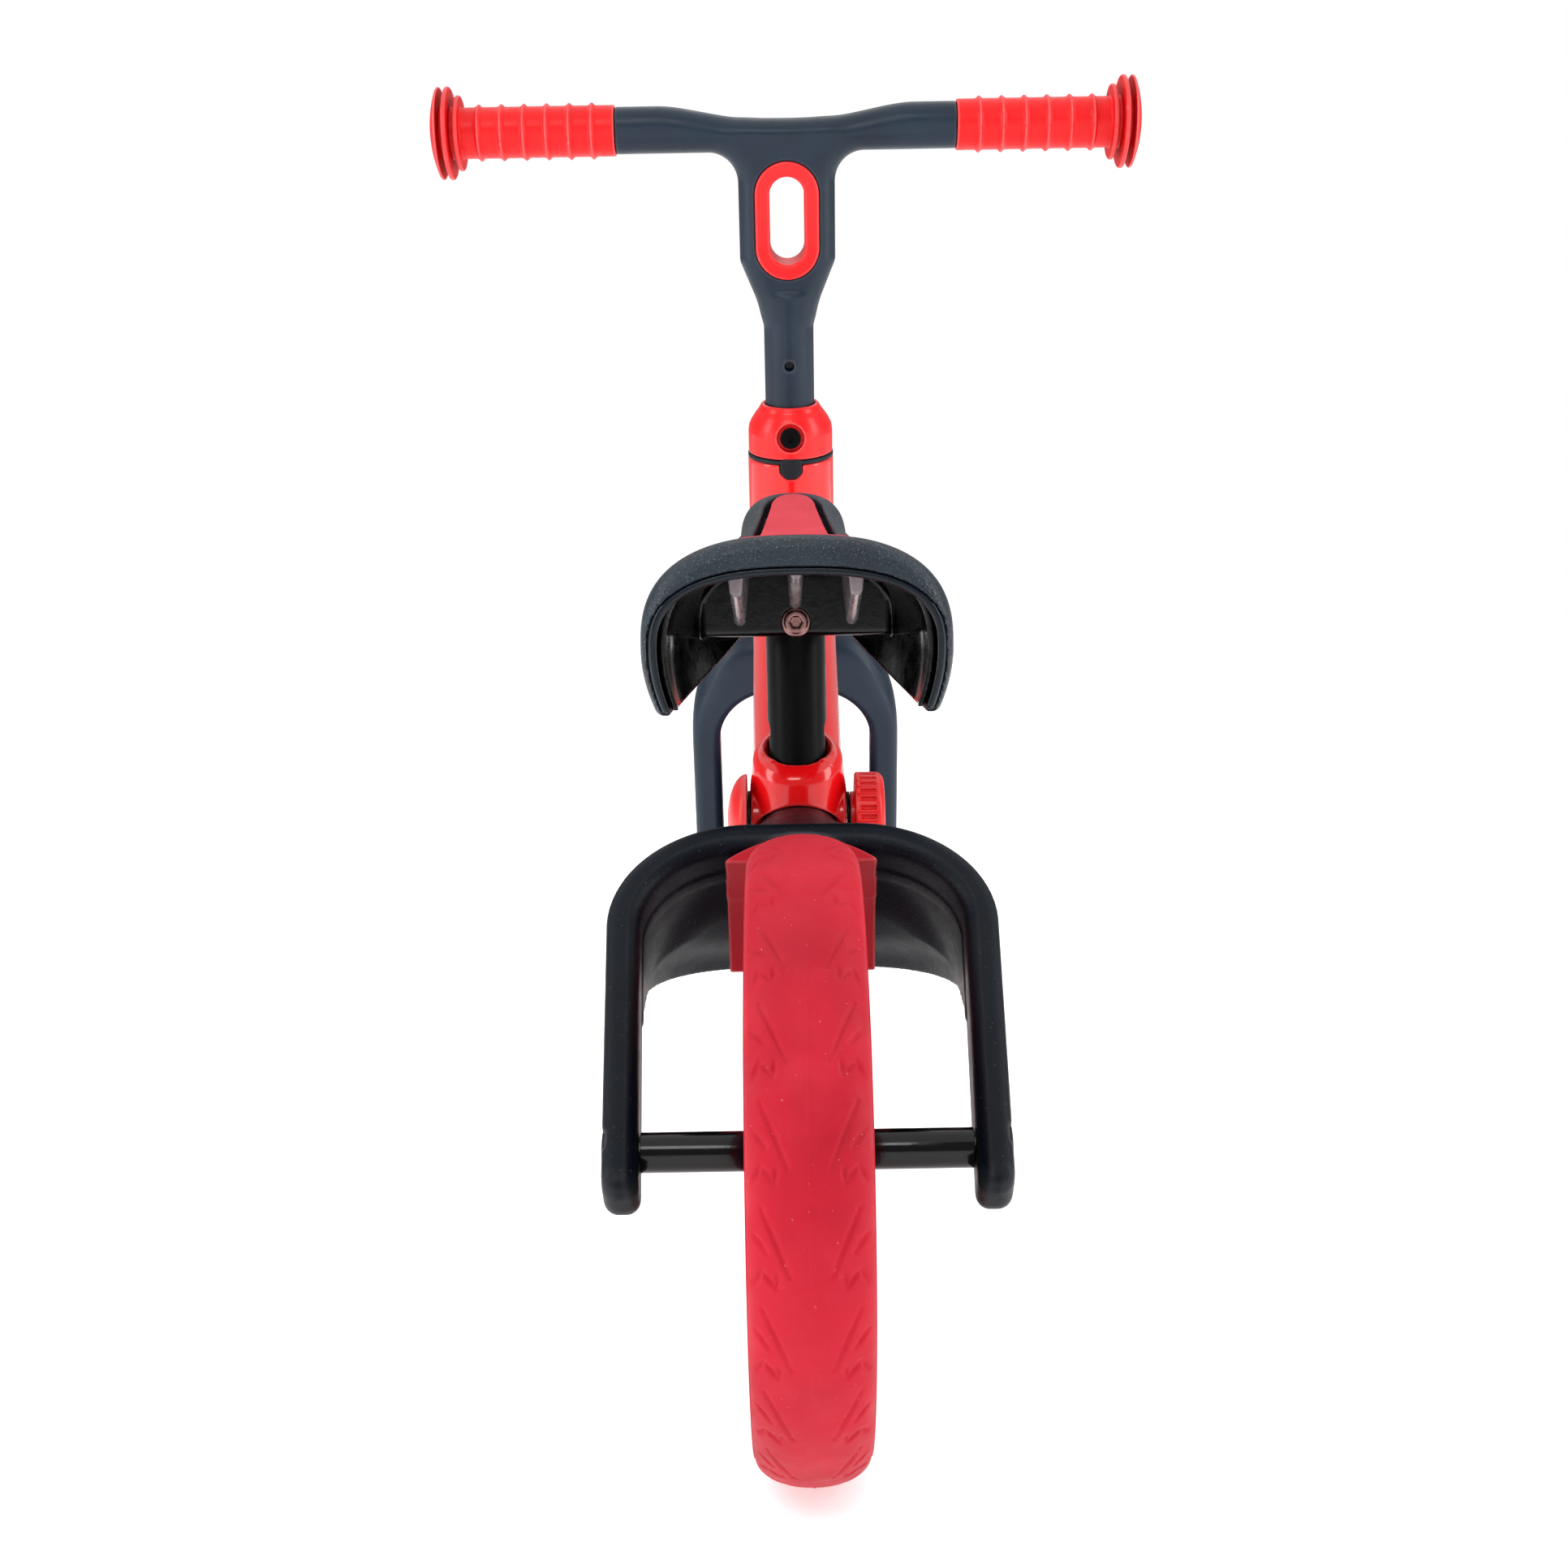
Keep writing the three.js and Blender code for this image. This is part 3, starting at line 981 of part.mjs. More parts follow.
// The black base: a liner under the shell, the clamp block for the post, and three ribs.
function seatBase() {
  const outer = SHELL_WALL + 1.5 + 3 * GAP;
  const stations = SADDLE_STATIONS.slice(1, 9);
  const liner = saddleVault(outer, outer + LINER_WALL, stations, 3);
  const filled = skin(stations.map((s) => saddleArch(saddleStation(s), outer + LINER_WALL / 2, 10)));
  const body = block([-BLOCK_HALF, BLOCK_HALF], [BLOCK_REAR, BLOCK_FRONT], [BLOCK_BOTTOM, 400]);
  const ribs = [-RIB_PITCH, 0, RIB_PITCH].map((x) => block([x - RIB_WIDTH / 2, x + RIB_WIDTH / 2],
    [SADDLE_REAR + 14, BLOCK_REAR + 1], [BLOCK_BOTTOM + RIB_DEPTH, 400]));
  const inside = join(body, ...ribs).intersect(filled);
  const lighten = [-1, 1].map((i) => block([Math.min(i * 20, i * 37), Math.max(i * 20, i * 37)],
    [BLOCK_REAR + 5, BLOCK_FRONT - 5], [BLOCK_BOTTOM - 9, BLOCK_BOTTOM + 16]));
  const socket = disc(POST_RADIUS + GAP, BLOCK_BOTTOM - 9, POST_HIGH + GAP, 18, SEAT_AXIS, UPRIGHT);
  return named('seat_base', cut(join(liner, inside), ...lighten, socket, seatBoltBody(GAP)), 'gloss_black');
}

// The cross bolt of the saddle clamp, from its head behind the post to its nut ahead of it.
function seatBoltBody(margin) {
  const place = at(0, 0, SEAT_BOLT_Z);
  return join(
    disc(SEAT_BOLT_RADIUS + margin, BLOCK_REAR - 4, BLOCK_FRONT + 6, 16, place),
    disc(SEAT_BOLT_HEAD_RADIUS + margin, BLOCK_REAR - 4, BLOCK_REAR + 1 + margin, 24, place),
  );
}

function seatBolt() {
  const socket = disc(2.6, BLOCK_REAR - 9, BLOCK_REAR - 1, 6, at(0, 0, SEAT_BOLT_Z));
  return named('seat_bolt', cut(seatBoltBody(0), socket), 'steel');
}

function seatNut() {
  return named('seat_nut', hexNut(SEAT_BOLT_HEAD_RADIUS, SEAT_BOLT_RADIUS, BLOCK_FRONT + GAP,
    BLOCK_FRONT + 4.5, at(0, 0, SEAT_BOLT_Z)), 'steel');
}

// ---- The bike ----
const bike = new THREE.Group();
bike.add(
  mainFrame(), upperBush(), lowerBush(), rearFork(), mudguard(), forkScrew(),
  knobBolt(), knobCap(), capWasher(), knobWasher(), seatKnob(),
  frontFork(), steererTube(), heightCollar(), collarBolt(),
  handlebar(), handlebarTrim(), grip('left', -1), grip('right', 1),
  seatPost(), seatBase(), seatRim(), seatPad(), seatBolt(), seatNut(),
  ...wheel('rear', REAR_AXLE),
  ...axleSet('rear', REAR_AXLE, REAR_AXLE_HALF - REAR_ARM_WALL, REAR_AXLE_HALF),
  ...wheel('front', FRONT_AXLE),
  ...axleSet('front', FRONT_AXLE, FORK_INNER_HALF, FORK_INNER_HALF + FORK_LEG),
);

export default bike;
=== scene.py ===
"""The looks of a toddler's balance bike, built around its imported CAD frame.

Every visible piece is a closed mesh taken from a field of distances, in millimetres, or turned on a
lathe. Pieces are placed by the frame's boxes and joints, and each gets a procedural material.
"""

import json
import math

import bpy
import numpy as np
import openvdb
from mathutils import Euler, Matrix, Vector


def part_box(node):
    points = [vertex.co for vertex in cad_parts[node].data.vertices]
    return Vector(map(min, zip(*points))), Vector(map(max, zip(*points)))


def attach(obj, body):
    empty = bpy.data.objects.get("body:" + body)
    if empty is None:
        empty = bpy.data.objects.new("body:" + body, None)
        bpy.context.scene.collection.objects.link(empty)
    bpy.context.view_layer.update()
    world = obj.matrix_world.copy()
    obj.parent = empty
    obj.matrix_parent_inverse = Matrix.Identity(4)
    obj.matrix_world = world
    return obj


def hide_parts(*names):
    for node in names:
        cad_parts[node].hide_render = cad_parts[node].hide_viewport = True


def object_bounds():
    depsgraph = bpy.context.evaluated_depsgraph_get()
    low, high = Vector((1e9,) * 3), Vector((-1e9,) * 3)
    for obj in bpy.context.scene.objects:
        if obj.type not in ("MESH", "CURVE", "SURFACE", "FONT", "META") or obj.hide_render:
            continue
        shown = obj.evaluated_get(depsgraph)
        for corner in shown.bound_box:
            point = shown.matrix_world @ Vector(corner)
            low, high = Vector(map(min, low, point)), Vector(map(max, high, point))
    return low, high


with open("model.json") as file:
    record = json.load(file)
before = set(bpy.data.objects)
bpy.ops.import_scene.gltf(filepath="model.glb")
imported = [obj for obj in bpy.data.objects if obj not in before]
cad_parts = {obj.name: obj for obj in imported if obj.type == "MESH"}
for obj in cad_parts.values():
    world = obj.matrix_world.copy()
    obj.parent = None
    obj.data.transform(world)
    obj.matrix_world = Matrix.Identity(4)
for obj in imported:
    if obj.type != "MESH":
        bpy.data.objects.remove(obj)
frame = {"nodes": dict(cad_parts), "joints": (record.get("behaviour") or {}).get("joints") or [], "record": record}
cad_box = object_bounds()

MM = 0.001
GAP = 0.3  # between neighbouring pieces
ROOM_LIGHT = 0.33  # what the white room gives to surfaces, against 1 as it is seen
BODY_OF = {node: body for body, nodes in frame["record"]["behaviour"]["bodies"].items() for node in nodes}
SLOT_OF = {part["node"]: part["material_slot"] for part in frame["record"]["subparts"]}


# ---- Places, all in millimetres ----
def corners(node):
    low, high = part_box(node)
    return low / MM, high / MM


def middle(node):
    low, high = corners(node)
    return (low + high) / 2


def turned_about_x(point, angle):
    return Matrix.Translation(point) @ Matrix.Rotation(angle, 4, "X")


steering_axis = next(j["axis"] for j in frame["joints"] if j["name"] == "steering")
REAR_AXLE = middle("rear_rim")
FRONT_AXLE = middle("front_rim")
STEERING = turned_about_x(FRONT_AXLE, math.atan2(-steering_axis[1], steering_axis[2]))
REAR_ARM = turned_about_x(REAR_AXLE, math.radians(41))
SEAT_POST = Matrix.Translation((0, middle("seat_post").y, 0))
CLAMP = Matrix.Translation((0, middle("seat_post").y, middle("seat_knob").z))
WHEEL_RADIUS = REAR_AXLE.z
BAR_T = (STEERING.inverted() @ middle("grip_left")).z


# ---- Camera, light and floor ----
def add_camera():
    data = bpy.data.cameras.new("camera")
    data.sensor_width = 36
    data.lens = 42.857
    camera = bpy.data.objects.new("camera", data)
    pitch, yaw, roll = (math.radians(a) for a in (-6.0, 0.18, -1.0))
    upright = Euler((math.pi / 2 + pitch, 0, yaw)).to_matrix()
    camera.matrix_world = (upright @ Matrix.Rotation(roll, 3, "Z")).to_4x4()
    camera.location = (-0.0038, -0.9071, 0.2987)
    bpy.context.scene.collection.objects.link(camera)
    bpy.context.scene.camera = camera


def add_light(name, place, aim, size, power):
    data = bpy.data.lights.new(name, "AREA")
    data.shape = "RECTANGLE"
    data.size, data.size_y = size
    data.energy = power
    light = bpy.data.objects.new(name, data)
    light.location = place
    light.rotation_euler = (Vector(aim) - Vector(place)).to_track_quat("-Z", "Y").to_euler()
    bpy.context.scene.collection.objects.link(light)


def add_studio():
    bpy.context.scene.view_settings.view_transform = "Standard"
    world = bpy.data.worlds.new("white_room")
    world.use_nodes = True
    tree = world.node_tree
    seen = tree.nodes.new("ShaderNodeLightPath").outputs["Is Camera Ray"]
    strength = tree.nodes.new("ShaderNodeMapRange")
    strength.inputs["To Min"].default_value = ROOM_LIGHT
    tree.links.new(seen, strength.inputs["Value"])
    tree.links.new(strength.outputs["Result"], tree.nodes["Background"].inputs["Strength"])
    tree.nodes["Background"].inputs["Color"].default_value = (1, 1, 1, 1)
    bpy.context.scene.world = world
    sky = bpy.data.lights.new("skylight", "SUN")
    sky.energy = 1.85
    sky.angle = math.radians(100)
    overhead = bpy.data.objects.new("skylight", sky)
    overhead.rotation_euler = (math.radians(-8), 0, 0)
    bpy.context.scene.collection.objects.link(overhead)
    target = (0, 0, 0.25)
    add_light("left_softbox", (-1.5, -0.5, 0.8), target, (0.5, 1.4), 13)
    add_light("right_softbox", (1.5, -0.4, 0.8), target, (0.5, 1.4), 13)
    add_light("front_softbox", (-0.3, -1.7, 1.5), target, (0.9, 0.5), 11)
    floor_mesh = bpy.data.meshes.new("floor")
    reach = 12
    floor_mesh.from_pydata([(x, y, 0) for x, y in ((-reach, -reach), (reach, -reach), (reach, reach),
                                                   (-reach, reach))], [], [(0, 1, 2, 3)])
    floor = bpy.data.objects.new("floor", floor_mesh)
    floor.location.z = cad_box[0][2] - 0.0002
    floor_mesh.materials.append(plastic("floor_white", (0.96, 0.96, 0.96), 0.75, patch=0.8, shade=0.995,
                                        shine=0.1))
    shader = floor_mesh.materials[0].node_tree.nodes["Principled BSDF"]
    shader.inputs["Emission Color"].default_value = (1, 1, 1, 1)
    shader.inputs["Emission Strength"].default_value = 0.45
    bpy.context.scene.collection.objects.link(floor)


# ---- Materials ----
class Nodes:
    """A material's node tree, with short calls for the nodes used here."""

    def __init__(self, name):
        self.material = bpy.data.materials.new(name)
        self.material.use_nodes = True
        self.tree = self.material.node_tree
        self.shader = self.tree.nodes["Principled BSDF"]
        self.where = self.add("ShaderNodeTexCoord").outputs["Object"]

    def add(self, kind, values=None, **settings):
        node = self.tree.nodes.new(kind)
        for key, value in settings.items():
            setattr(node, key, value)
        for key, value in (values or {}).items():
            self.put(value, node.inputs[key])
        return node

    def put(self, value, socket):
        if isinstance(value, bpy.types.NodeSocket):
            self.tree.links.new(value, socket)
        else:
            socket.default_value = value

    def noise(self, size, detail=2.0, stretch=(1, 1, 1)):
        scaled = self.add("ShaderNodeMapping", {"Vector": self.where, "Scale": stretch})
        return self.add("ShaderNodeTexNoise", {"Vector": scaled.outputs[0], "Scale": 1 / size,
                                               "Detail": detail}).outputs["Fac"]

    def cells(self, size, feature="F1"):
        return self.add("ShaderNodeTexVoronoi", {"Vector": self.where, "Scale": 1 / size},
                        feature=feature).outputs["Distance"]

    def spread(self, value, low, high, to_low, to_high):
        return self.add("ShaderNodeMapRange", {0: value, 1: low, 2: high, 3: to_low, 4: to_high}).outputs[0]

    def blend(self, factor, first, second):
        node = self.add("ShaderNodeMix", data_type="RGBA")
        self.put(factor, node.inputs["Factor"])
        self.put((*first, 1) if isinstance(first, tuple) else first, node.inputs["A"])
        self.put((*second, 1) if isinstance(second, tuple) else second, node.inputs["B"])
        return node.outputs["Result"]

    def bump(self, height, depth, under=None):
        values = {"Height": height, "Distance": depth, "Strength": 1.0}
        if under is not None:
            values["Normal"] = under
        return self.add("ShaderNodeBump", values).outputs[0]

    def edges(self):
        point = self.add("ShaderNodeNewGeometry").outputs["Pointiness"]
        return self.spread(point, 0.51, 0.56, 0, 1)


def darker(colour, share):
    return tuple(c * share for c in colour)


def plastic(name, colour, roughness, patch=0.03, shade=0.86, grain=0.0, depth=0.0, rough_spread=0.05,
            coat=0.0, worn=0.0, fleck=0.0, shine=0.35):
    """A moulded or painted finish: slow colour drift, uneven roughness, and a fine grain where it has one."""
    made = Nodes(name)
    tone = made.blend(made.spread(made.noise(patch, 3), 0.35, 0.65, 0, 1), darker(colour, shade), colour)
    if worn:
        pale = tuple(c + (1 - c) * worn for c in colour)
        tone = made.blend(made.edges(), tone, pale)
    if fleck:
        dots = made.spread(made.noise(0.0011, 1), 0.72, 0.8, 0, fleck)
        tone = made.blend(dots, tone, (0.75, 0.78, 0.82))
    made.put(tone, made.shader.inputs["Base Color"])
    made.put(made.spread(made.noise(patch / 3, 2), 0.3, 0.7, roughness - rough_spread,
                         roughness + rough_spread), made.shader.inputs["Roughness"])
    if grain:
        height = made.noise(grain, 2)
        made.put(made.bump(height, depth), made.shader.inputs["Normal"])
    made.shader.inputs["Specular IOR Level"].default_value = shine
    made.shader.inputs["Coat Weight"].default_value = coat
    made.shader.inputs["Coat Roughness"].default_value = 0.04
    return made.material


def foam_rubber():
    """The tyre: matte foam with slow light and dark patches, pores and fine dust specks."""
    made = Nodes("foam_rubber")
    base, deep, pale = (0.5, 0.006, 0.022), (0.38, 0.004, 0.017), (0.6, 0.016, 0.036)
    tone = made.blend(made.spread(made.noise(0.06, 3), 0.35, 0.65, 0, 1), deep, base)
    tone = made.blend(made.spread(made.noise(0.025, 4), 0.5, 0.72, 0, 0.4), tone, pale)
    specks = made.spread(made.noise(0.0014, 1), 0.76, 0.8, 0, 0.3)
    tone = made.blend(specks, tone, (0.8, 0.3, 0.3))
    made.put(tone, made.shader.inputs["Base Color"])
    made.put(made.spread(made.noise(0.01, 2), 0.3, 0.7, 0.52, 0.66), made.shader.inputs["Roughness"])
    pores = made.bump(made.noise(0.0008, 2), 0.00005)
    made.put(made.bump(made.noise(0.006, 3), 0.00015, pores), made.shader.inputs["Normal"])
    made.shader.inputs["Specular IOR Level"].default_value = 0.2
    return made.material


def leather_grain():
    """The saddle rim: slate plastic with a raised leather grain, and pale glint specks as painted highlight."""
    made = Nodes("leather_grain")
    tone = made.blend(made.spread(made.noise(0.02, 3), 0.35, 0.65, 0, 1), (0.009, 0.016, 0.024),
                      (0.014, 0.024, 0.034))
    crest = made.cells(0.0012, "SMOOTH_F1")
    # Painted highlight: pale grey specks mixed into the base colour to look like glints.
    painted_glint = made.spread(made.noise(0.0007, 2), 0.6, 0.72, 0, 0.3)
    tone = made.blend(painted_glint, tone, (0.3, 0.34, 0.38))
    made.put(tone, made.shader.inputs["Base Color"])
    made.put(made.spread(made.noise(0.004, 2), 0.3, 0.7, 0.36, 0.5), made.shader.inputs["Roughness"])
    fine = made.bump(made.noise(0.0006, 2), 0.0001)
    made.put(made.bump(crest, 0.0003, fine), made.shader.inputs["Normal"])
    made.shader.inputs["Specular IOR Level"].default_value = 0.3
    return made.material


def woven_pad():
    """The pad's skin: a fine square weave pressed into soft red plastic."""
    made = Nodes("woven_pad")
    tone = made.blend(made.spread(made.noise(0.03, 3), 0.35, 0.65, 0, 1), (0.56, 0.018, 0.035),
                      (0.66, 0.032, 0.055))
    across = made.add("ShaderNodeTexWave", {"Vector": made.where, "Scale": 420.0, "Distortion": 0.6},
                      bands_direction="X").outputs["Fac"]
    along = made.add("ShaderNodeTexWave", {"Vector": made.where, "Scale": 420.0, "Distortion": 0.6},
                     bands_direction="Y").outputs["Fac"]
    weave = made.add("ShaderNodeMath", {0: across, 1: along}, operation="MULTIPLY").outputs[0]
    tone = made.blend(made.spread(weave, 0, 1, 0, 0.35), tone, (0.86, 0.16, 0.2))
    made.put(tone, made.shader.inputs["Base Color"])
    made.put(made.spread(weave, 0, 1, 0.62, 0.46), made.shader.inputs["Roughness"])
    made.put(made.bump(weave, 0.00015), made.shader.inputs["Normal"])
    made.shader.inputs["Specular IOR Level"].default_value = 0.25
    return made.material


def metal(name, colour, roughness):
    """Plated steel, lightly brushed round its axis."""
    made = Nodes(name)
    streaks = made.noise(0.0008, 3, (1, 8, 8))
    made.put(made.blend(streaks, darker(colour, 0.8), colour), made.shader.inputs["Base Color"])
    made.put(made.spread(streaks, 0.3, 0.7, roughness - 0.06, roughness + 0.08),
             made.shader.inputs["Roughness"])
    made.shader.inputs["Metallic"].default_value = 1.0
    made.put(made.bump(streaks, 0.00002), made.shader.inputs["Normal"])
    return made.material


FINISHES = {
    "frame_red": plastic("gloss_paint", (0.84, 0.004, 0.006), 0.2, patch=0.12, shade=0.93,
                         grain=0.004, depth=0.00002, rough_spread=0.02, coat=0.5, worn=0.04, shine=0.25),
    "satin_red": plastic("moulded_red", (0.78, 0.005, 0.007), 0.34, patch=0.03, shade=0.9,
                         grain=0.0006, depth=0.00002, coat=0.1, worn=0.08, shine=0.3),
    # The insert's own raspberry red, made darker than the other moulded red parts as painted shade.
    "insert_red_painted_shade": plastic("insert_red_painted_shade", (0.4, 0.004, 0.014), 0.45, patch=0.03, shade=0.85,
                          grain=0.0006, depth=0.00003, worn=0.05, shine=0.15),
    "grip_red": plastic("grip_rubber", (0.74, 0.005, 0.007), 0.4, patch=0.02, shade=0.88,
                        grain=0.0005, depth=0.00004, worn=0.1, shine=0.25),
    "tyre_red": foam_rubber(),
    "pad_red": woven_pad(),
    "navy": plastic("navy_plastic", (0.008, 0.019, 0.036), 0.38, patch=0.03, shade=0.8,
                    grain=0.0005, depth=0.00004, worn=0.03, shine=0.28),
    "dark_navy": plastic("grained_navy", (0.001, 0.0035, 0.008), 0.42, patch=0.02, shade=0.75,
                         grain=0.0007, depth=0.00016, worn=0.05, fleck=0.06, shine=0.14),
    "slate": leather_grain(),
    "gloss_black": plastic("gloss_black", (0.002, 0.002, 0.0025), 0.14, patch=0.015, shade=0.6,
                           grain=0.003, depth=0.00003, coat=0.08, shine=0.25),
    "satin_black": plastic("satin_black", (0.0015, 0.0015, 0.002), 0.36, patch=0.03, shade=0.8,
                           grain=0.0006, depth=0.00002, shine=0.08),
    "black_plastic": plastic("black_plastic", (0.004, 0.007, 0.012), 0.45, patch=0.02, shade=0.8,
                             grain=0.0006, depth=0.00005, shine=0.25),
    "steel": metal("plated_steel", (0.55, 0.54, 0.52), 0.3),
    # The ribs' own pale translucent grey, lightened further to stand in for their bright highlights: painted
    # highlight.
    "rib_grey_painted_highlight": plastic("rib_grey_painted_highlight", (0.26, 0.22, 0.235), 0.22, patch=0.01, shade=0.6, coat=0.3),
    "dark_bolt": metal("blackened_steel", (0.3, 0.16, 0.15), 0.25),
    "rim_lip": plastic("smooth_slate", (0.004, 0.009, 0.015), 0.3, patch=0.02, shade=0.8, grain=0.0006,
                       depth=0.00003, shine=0.3),
}


# ---- Fields of distances: negative inside, positive outside ----
def length(*parts):
    return np.sqrt(sum(part * part for part in parts))


def both(a, b, radius=0.0):
    """What two fields share, with its edge rounded to a radius."""
    if not radius:
        return np.maximum(a, b)
    corner = length(np.maximum(a + radius, 0), np.maximum(b + radius, 0))
    return np.minimum(np.maximum(a, b), -radius) + corner


def without(a, b, radius=0.0):
    return both(a, -b, radius)


def either(a, b, radius=0.0):
    """Two fields joined, with a fillet of a radius between them."""
    if not radius:
        return np.minimum(a, b)
    corner = length(np.maximum(radius - a, 0), np.maximum(radius - b, 0))
    return np.maximum(np.minimum(a, b), radius) - corner


def slab(along, low, high):
    return np.abs(along - (low + high) / 2) - (high - low) / 2


def ease(value):
    held = np.clip(value, 0, 1)
    return held * held * (3 - 2 * held)


def mix(first, second, share):
    return first + (second - first) * share


def hexagon(u, v):
    """The distance from the middle of a hexagon to the side that faces a point."""
    return np.maximum(np.abs(u) * 0.866 + np.abs(v) / 2, np.abs(v))


def outline(points, u, v):
    """The distance from an outline, negative inside it."""
    u, v = np.broadcast_arrays(u, v)
    nearest = np.full(u.shape, 1e9)
    inside = np.zeros(u.shape, bool)
    for (au, av), (bu, bv) in zip(points, points[1:] + points[:1]):
        eu, ev = bu - au, bv - av
        t = np.clip(((u - au) * eu + (v - av) * ev) / (eu * eu + ev * ev), 0, 1)
        nearest = np.minimum(nearest, (u - au - t * eu) ** 2 + (v - av - t * ev) ** 2)
        if ev:
            inside ^= ((av > v) != (bv > v)) & (u < eu * (v - av) / ev + au)
    return np.where(inside, -1, 1) * np.sqrt(nearest)


def arc(centre, radii, start, end, steps=12):
    angles = [math.radians(start + (end - start) * i / steps) for i in range(steps + 1)]
    return [(centre[0] + radii[0] * math.cos(a), centre[1] + radii[1] * math.sin(a)) for a in angles]


def mirrored(points):
    return points + [(-u, v) for u, v in reversed(points)]


def carve(field, low, high, voxel, place):
    """A closed mesh on the zero level of a field, drawn in a frame of its own, settled onto the surface."""
    grids = [np.arange(a, b + voxel, voxel) for a, b in zip(low, high)]
    x, y, z = np.meshgrid(*grids, indexing="ij", sparse=True)
    distance = np.empty([len(g) for g in grids], np.float32)
    distance[...] = field(x, y, z)
    volume = openvdb.FloatGrid(1000.0)
    volume.copyFromArray(distance)
    points, triangles, quads = volume.convertToPolygons(0.0, 0.0)
    points = points.astype(float) * voxel + np.array([g[0] for g in grids])
    step = 0.02
    for _ in range(2):
        x, y, z = points.T
        here = field(x, y, z)
        slope = np.stack([field(x + step, y, z) - here, field(x, y + step, z) - here,
                          field(x, y, z + step) - here], 1) / step
        size = np.maximum((slope ** 2).sum(1), 0.2)
        points = points - slope * np.clip(here / size, -0.4 * voxel, 0.4 * voxel)[:, None]
    faces = [list(map(int, f)) for f in quads] + [list(map(int, f)) for f in triangles]
    return mesh_from(points, faces, place)


def mesh_from(points, faces, place):
    mesh = bpy.data.meshes.new("piece")
    mesh.from_pydata(points.tolist(), [], faces)
    a, b, c = (np.array([points[f[i]] for f in faces]) for i in range(3))
    if np.einsum("ij,ij->", a, np.cross(b, c)) < 0:
        mesh.flip_normals()
    mesh.transform(Matrix.Scale(MM, 4) @ place)
    mesh.shade_smooth()
    mesh.update()
    return mesh


def lathe(profile, sides, place=Matrix()):
    """A round body about X through (x, radius) points, from axis to axis or closed on themselves."""
    closed = profile[0][1] > 1e-6
    angles = 2 * math.pi * np.arange(sides) / sides
    points, faces, rings = [], [], []
    for x, radius in profile:
        if radius < 1e-6:
            rings.append([len(points)] * sides)
            points.append((x, 0, 0))
        else:
            rings.append([len(points) + i for i in range(sides)])
            points.extend((x, radius * math.cos(a), radius * math.sin(a)) for a in angles)
    pairs = list(zip(rings, rings[1:])) + ([(rings[-1], rings[0])] if closed else [])
    for low, high in pairs:
        for i in range(sides):
            j = (i + 1) % sides
            face = [low[i], low[j], high[j], high[i]]
            faces.append([f for k, f in enumerate(face) if f not in face[:k]])
    mesh = mesh_from(np.array(points, float), faces, place)
    mesh.set_sharp_from_angle(angle=math.radians(40))
    return mesh


def softened(profile, radius=0.5):
    """A profile with each corner cut back by an arc, so that edges catch the light."""
    points = [Vector(p) for p in profile]
    closed = profile[0][1] > 1e-6
    result = []
    for i, p in enumerate(points):
        if not closed and i in (0, len(points) - 1):
            result.append(tuple(p))
            continue
        before, after = points[i - 1] - p, points[(i + 1) % len(points)] - p
        reach = min(radius, before.length / 2.2, after.length / 2.2)
        first, last = p + before.normalized() * reach, p + after.normalized() * reach
        for k in range(4):
            t = k / 3
            bent = first * (1 - t) ** 2 + p * 2 * t * (1 - t) + last * t * t
            result.append((bent.x, max(bent.y, 0)))
    return result


def show(node, mesh, finish=None, name=None):
    """Links a mesh as the piece that stands for a CAD node, on that node's body."""
    piece = bpy.data.objects.new(name or node + "_shape", mesh)
    mesh.name = piece.name
    bpy.context.scene.collection.objects.link(piece)
    slot = SLOT_OF[node]
    mesh.materials.append(FINISHES[finish or slot])
    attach(piece, BODY_OF[node])
    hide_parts(node)
    return piece


# ---- Handlebar, in the steering frame: x across, n ahead, t up the steering axis ----
BAR_RADIUS = 12.0
BAR_DIP = 8.0
BAR_END = 92.0
STEM_RADIUS = 14.0
CORE_RADIUS = 9.5  # of the bar inside the grips
YOKE_HALF_DEPTH = 12.0
COLLAR_BOLT_T = (STEERING.inverted() @ middle("collar_bolt")).z
INDEX_PITCH = 39.0
WINDOW_T = (STEERING.inverted() @ middle("handlebar_trim")).z
SHIELD = mirrored([(18.5, BAR_T - 14), (18.5, 396), (7, 368)])


def window(x, t):
    """The distance from the upright line in the middle of the hand hole."""
    return length(x, np.maximum(np.abs(t - WINDOW_T) - 13.8, 0))


def handlebar_field(x, n, t):
    top = BAR_RADIUS - BAR_DIP * (1 - ease((np.abs(x) / 70) ** 1.35))
    bar = np.abs(t - BAR_T - (top - BAR_RADIUS) / 2) - (top + BAR_RADIUS) / 2
    yoke = outline(SHIELD, x, t) - 8
    body = both(either(bar, yoke, 16), np.abs(n) - YOKE_HALF_DEPTH, 10.5)
    body = both(body, np.abs(x) - BAR_END, 0.8)
    stem = both(length(x, n) - STEM_RADIUS, slab(t, 215, 376), 1)
    body = either(body, stem, 5)
    core = both(length(n, t - BAR_T) - CORE_RADIUS, slab(np.abs(x), 70, 174), 0.5)
    body = either(body, core)
    around = window(x, t)
    seat = both(around - 17.8, YOKE_HALF_DEPTH - 1.7 - np.abs(n))
    body = without(without(body, seat, 0.5), around - 12.1)
    for hole in (COLLAR_BOLT_T, COLLAR_BOLT_T + INDEX_PITCH):
        body = without(body, both(length(x, t - hole) - 2.8, n + 8), 0.5)
    return body


def trim_field(x, n, t):
    around = window(x, t)
    border = both(around - 17.5, np.abs(np.abs(n) - YOKE_HALF_DEPTH + 0.1) - 1.4, 1.3)
    sleeve = both(around - 11.8, np.abs(n) - YOKE_HALF_DEPTH)
    return without(either(border, sleeve, 0.5), around - 9.5, 1.6)


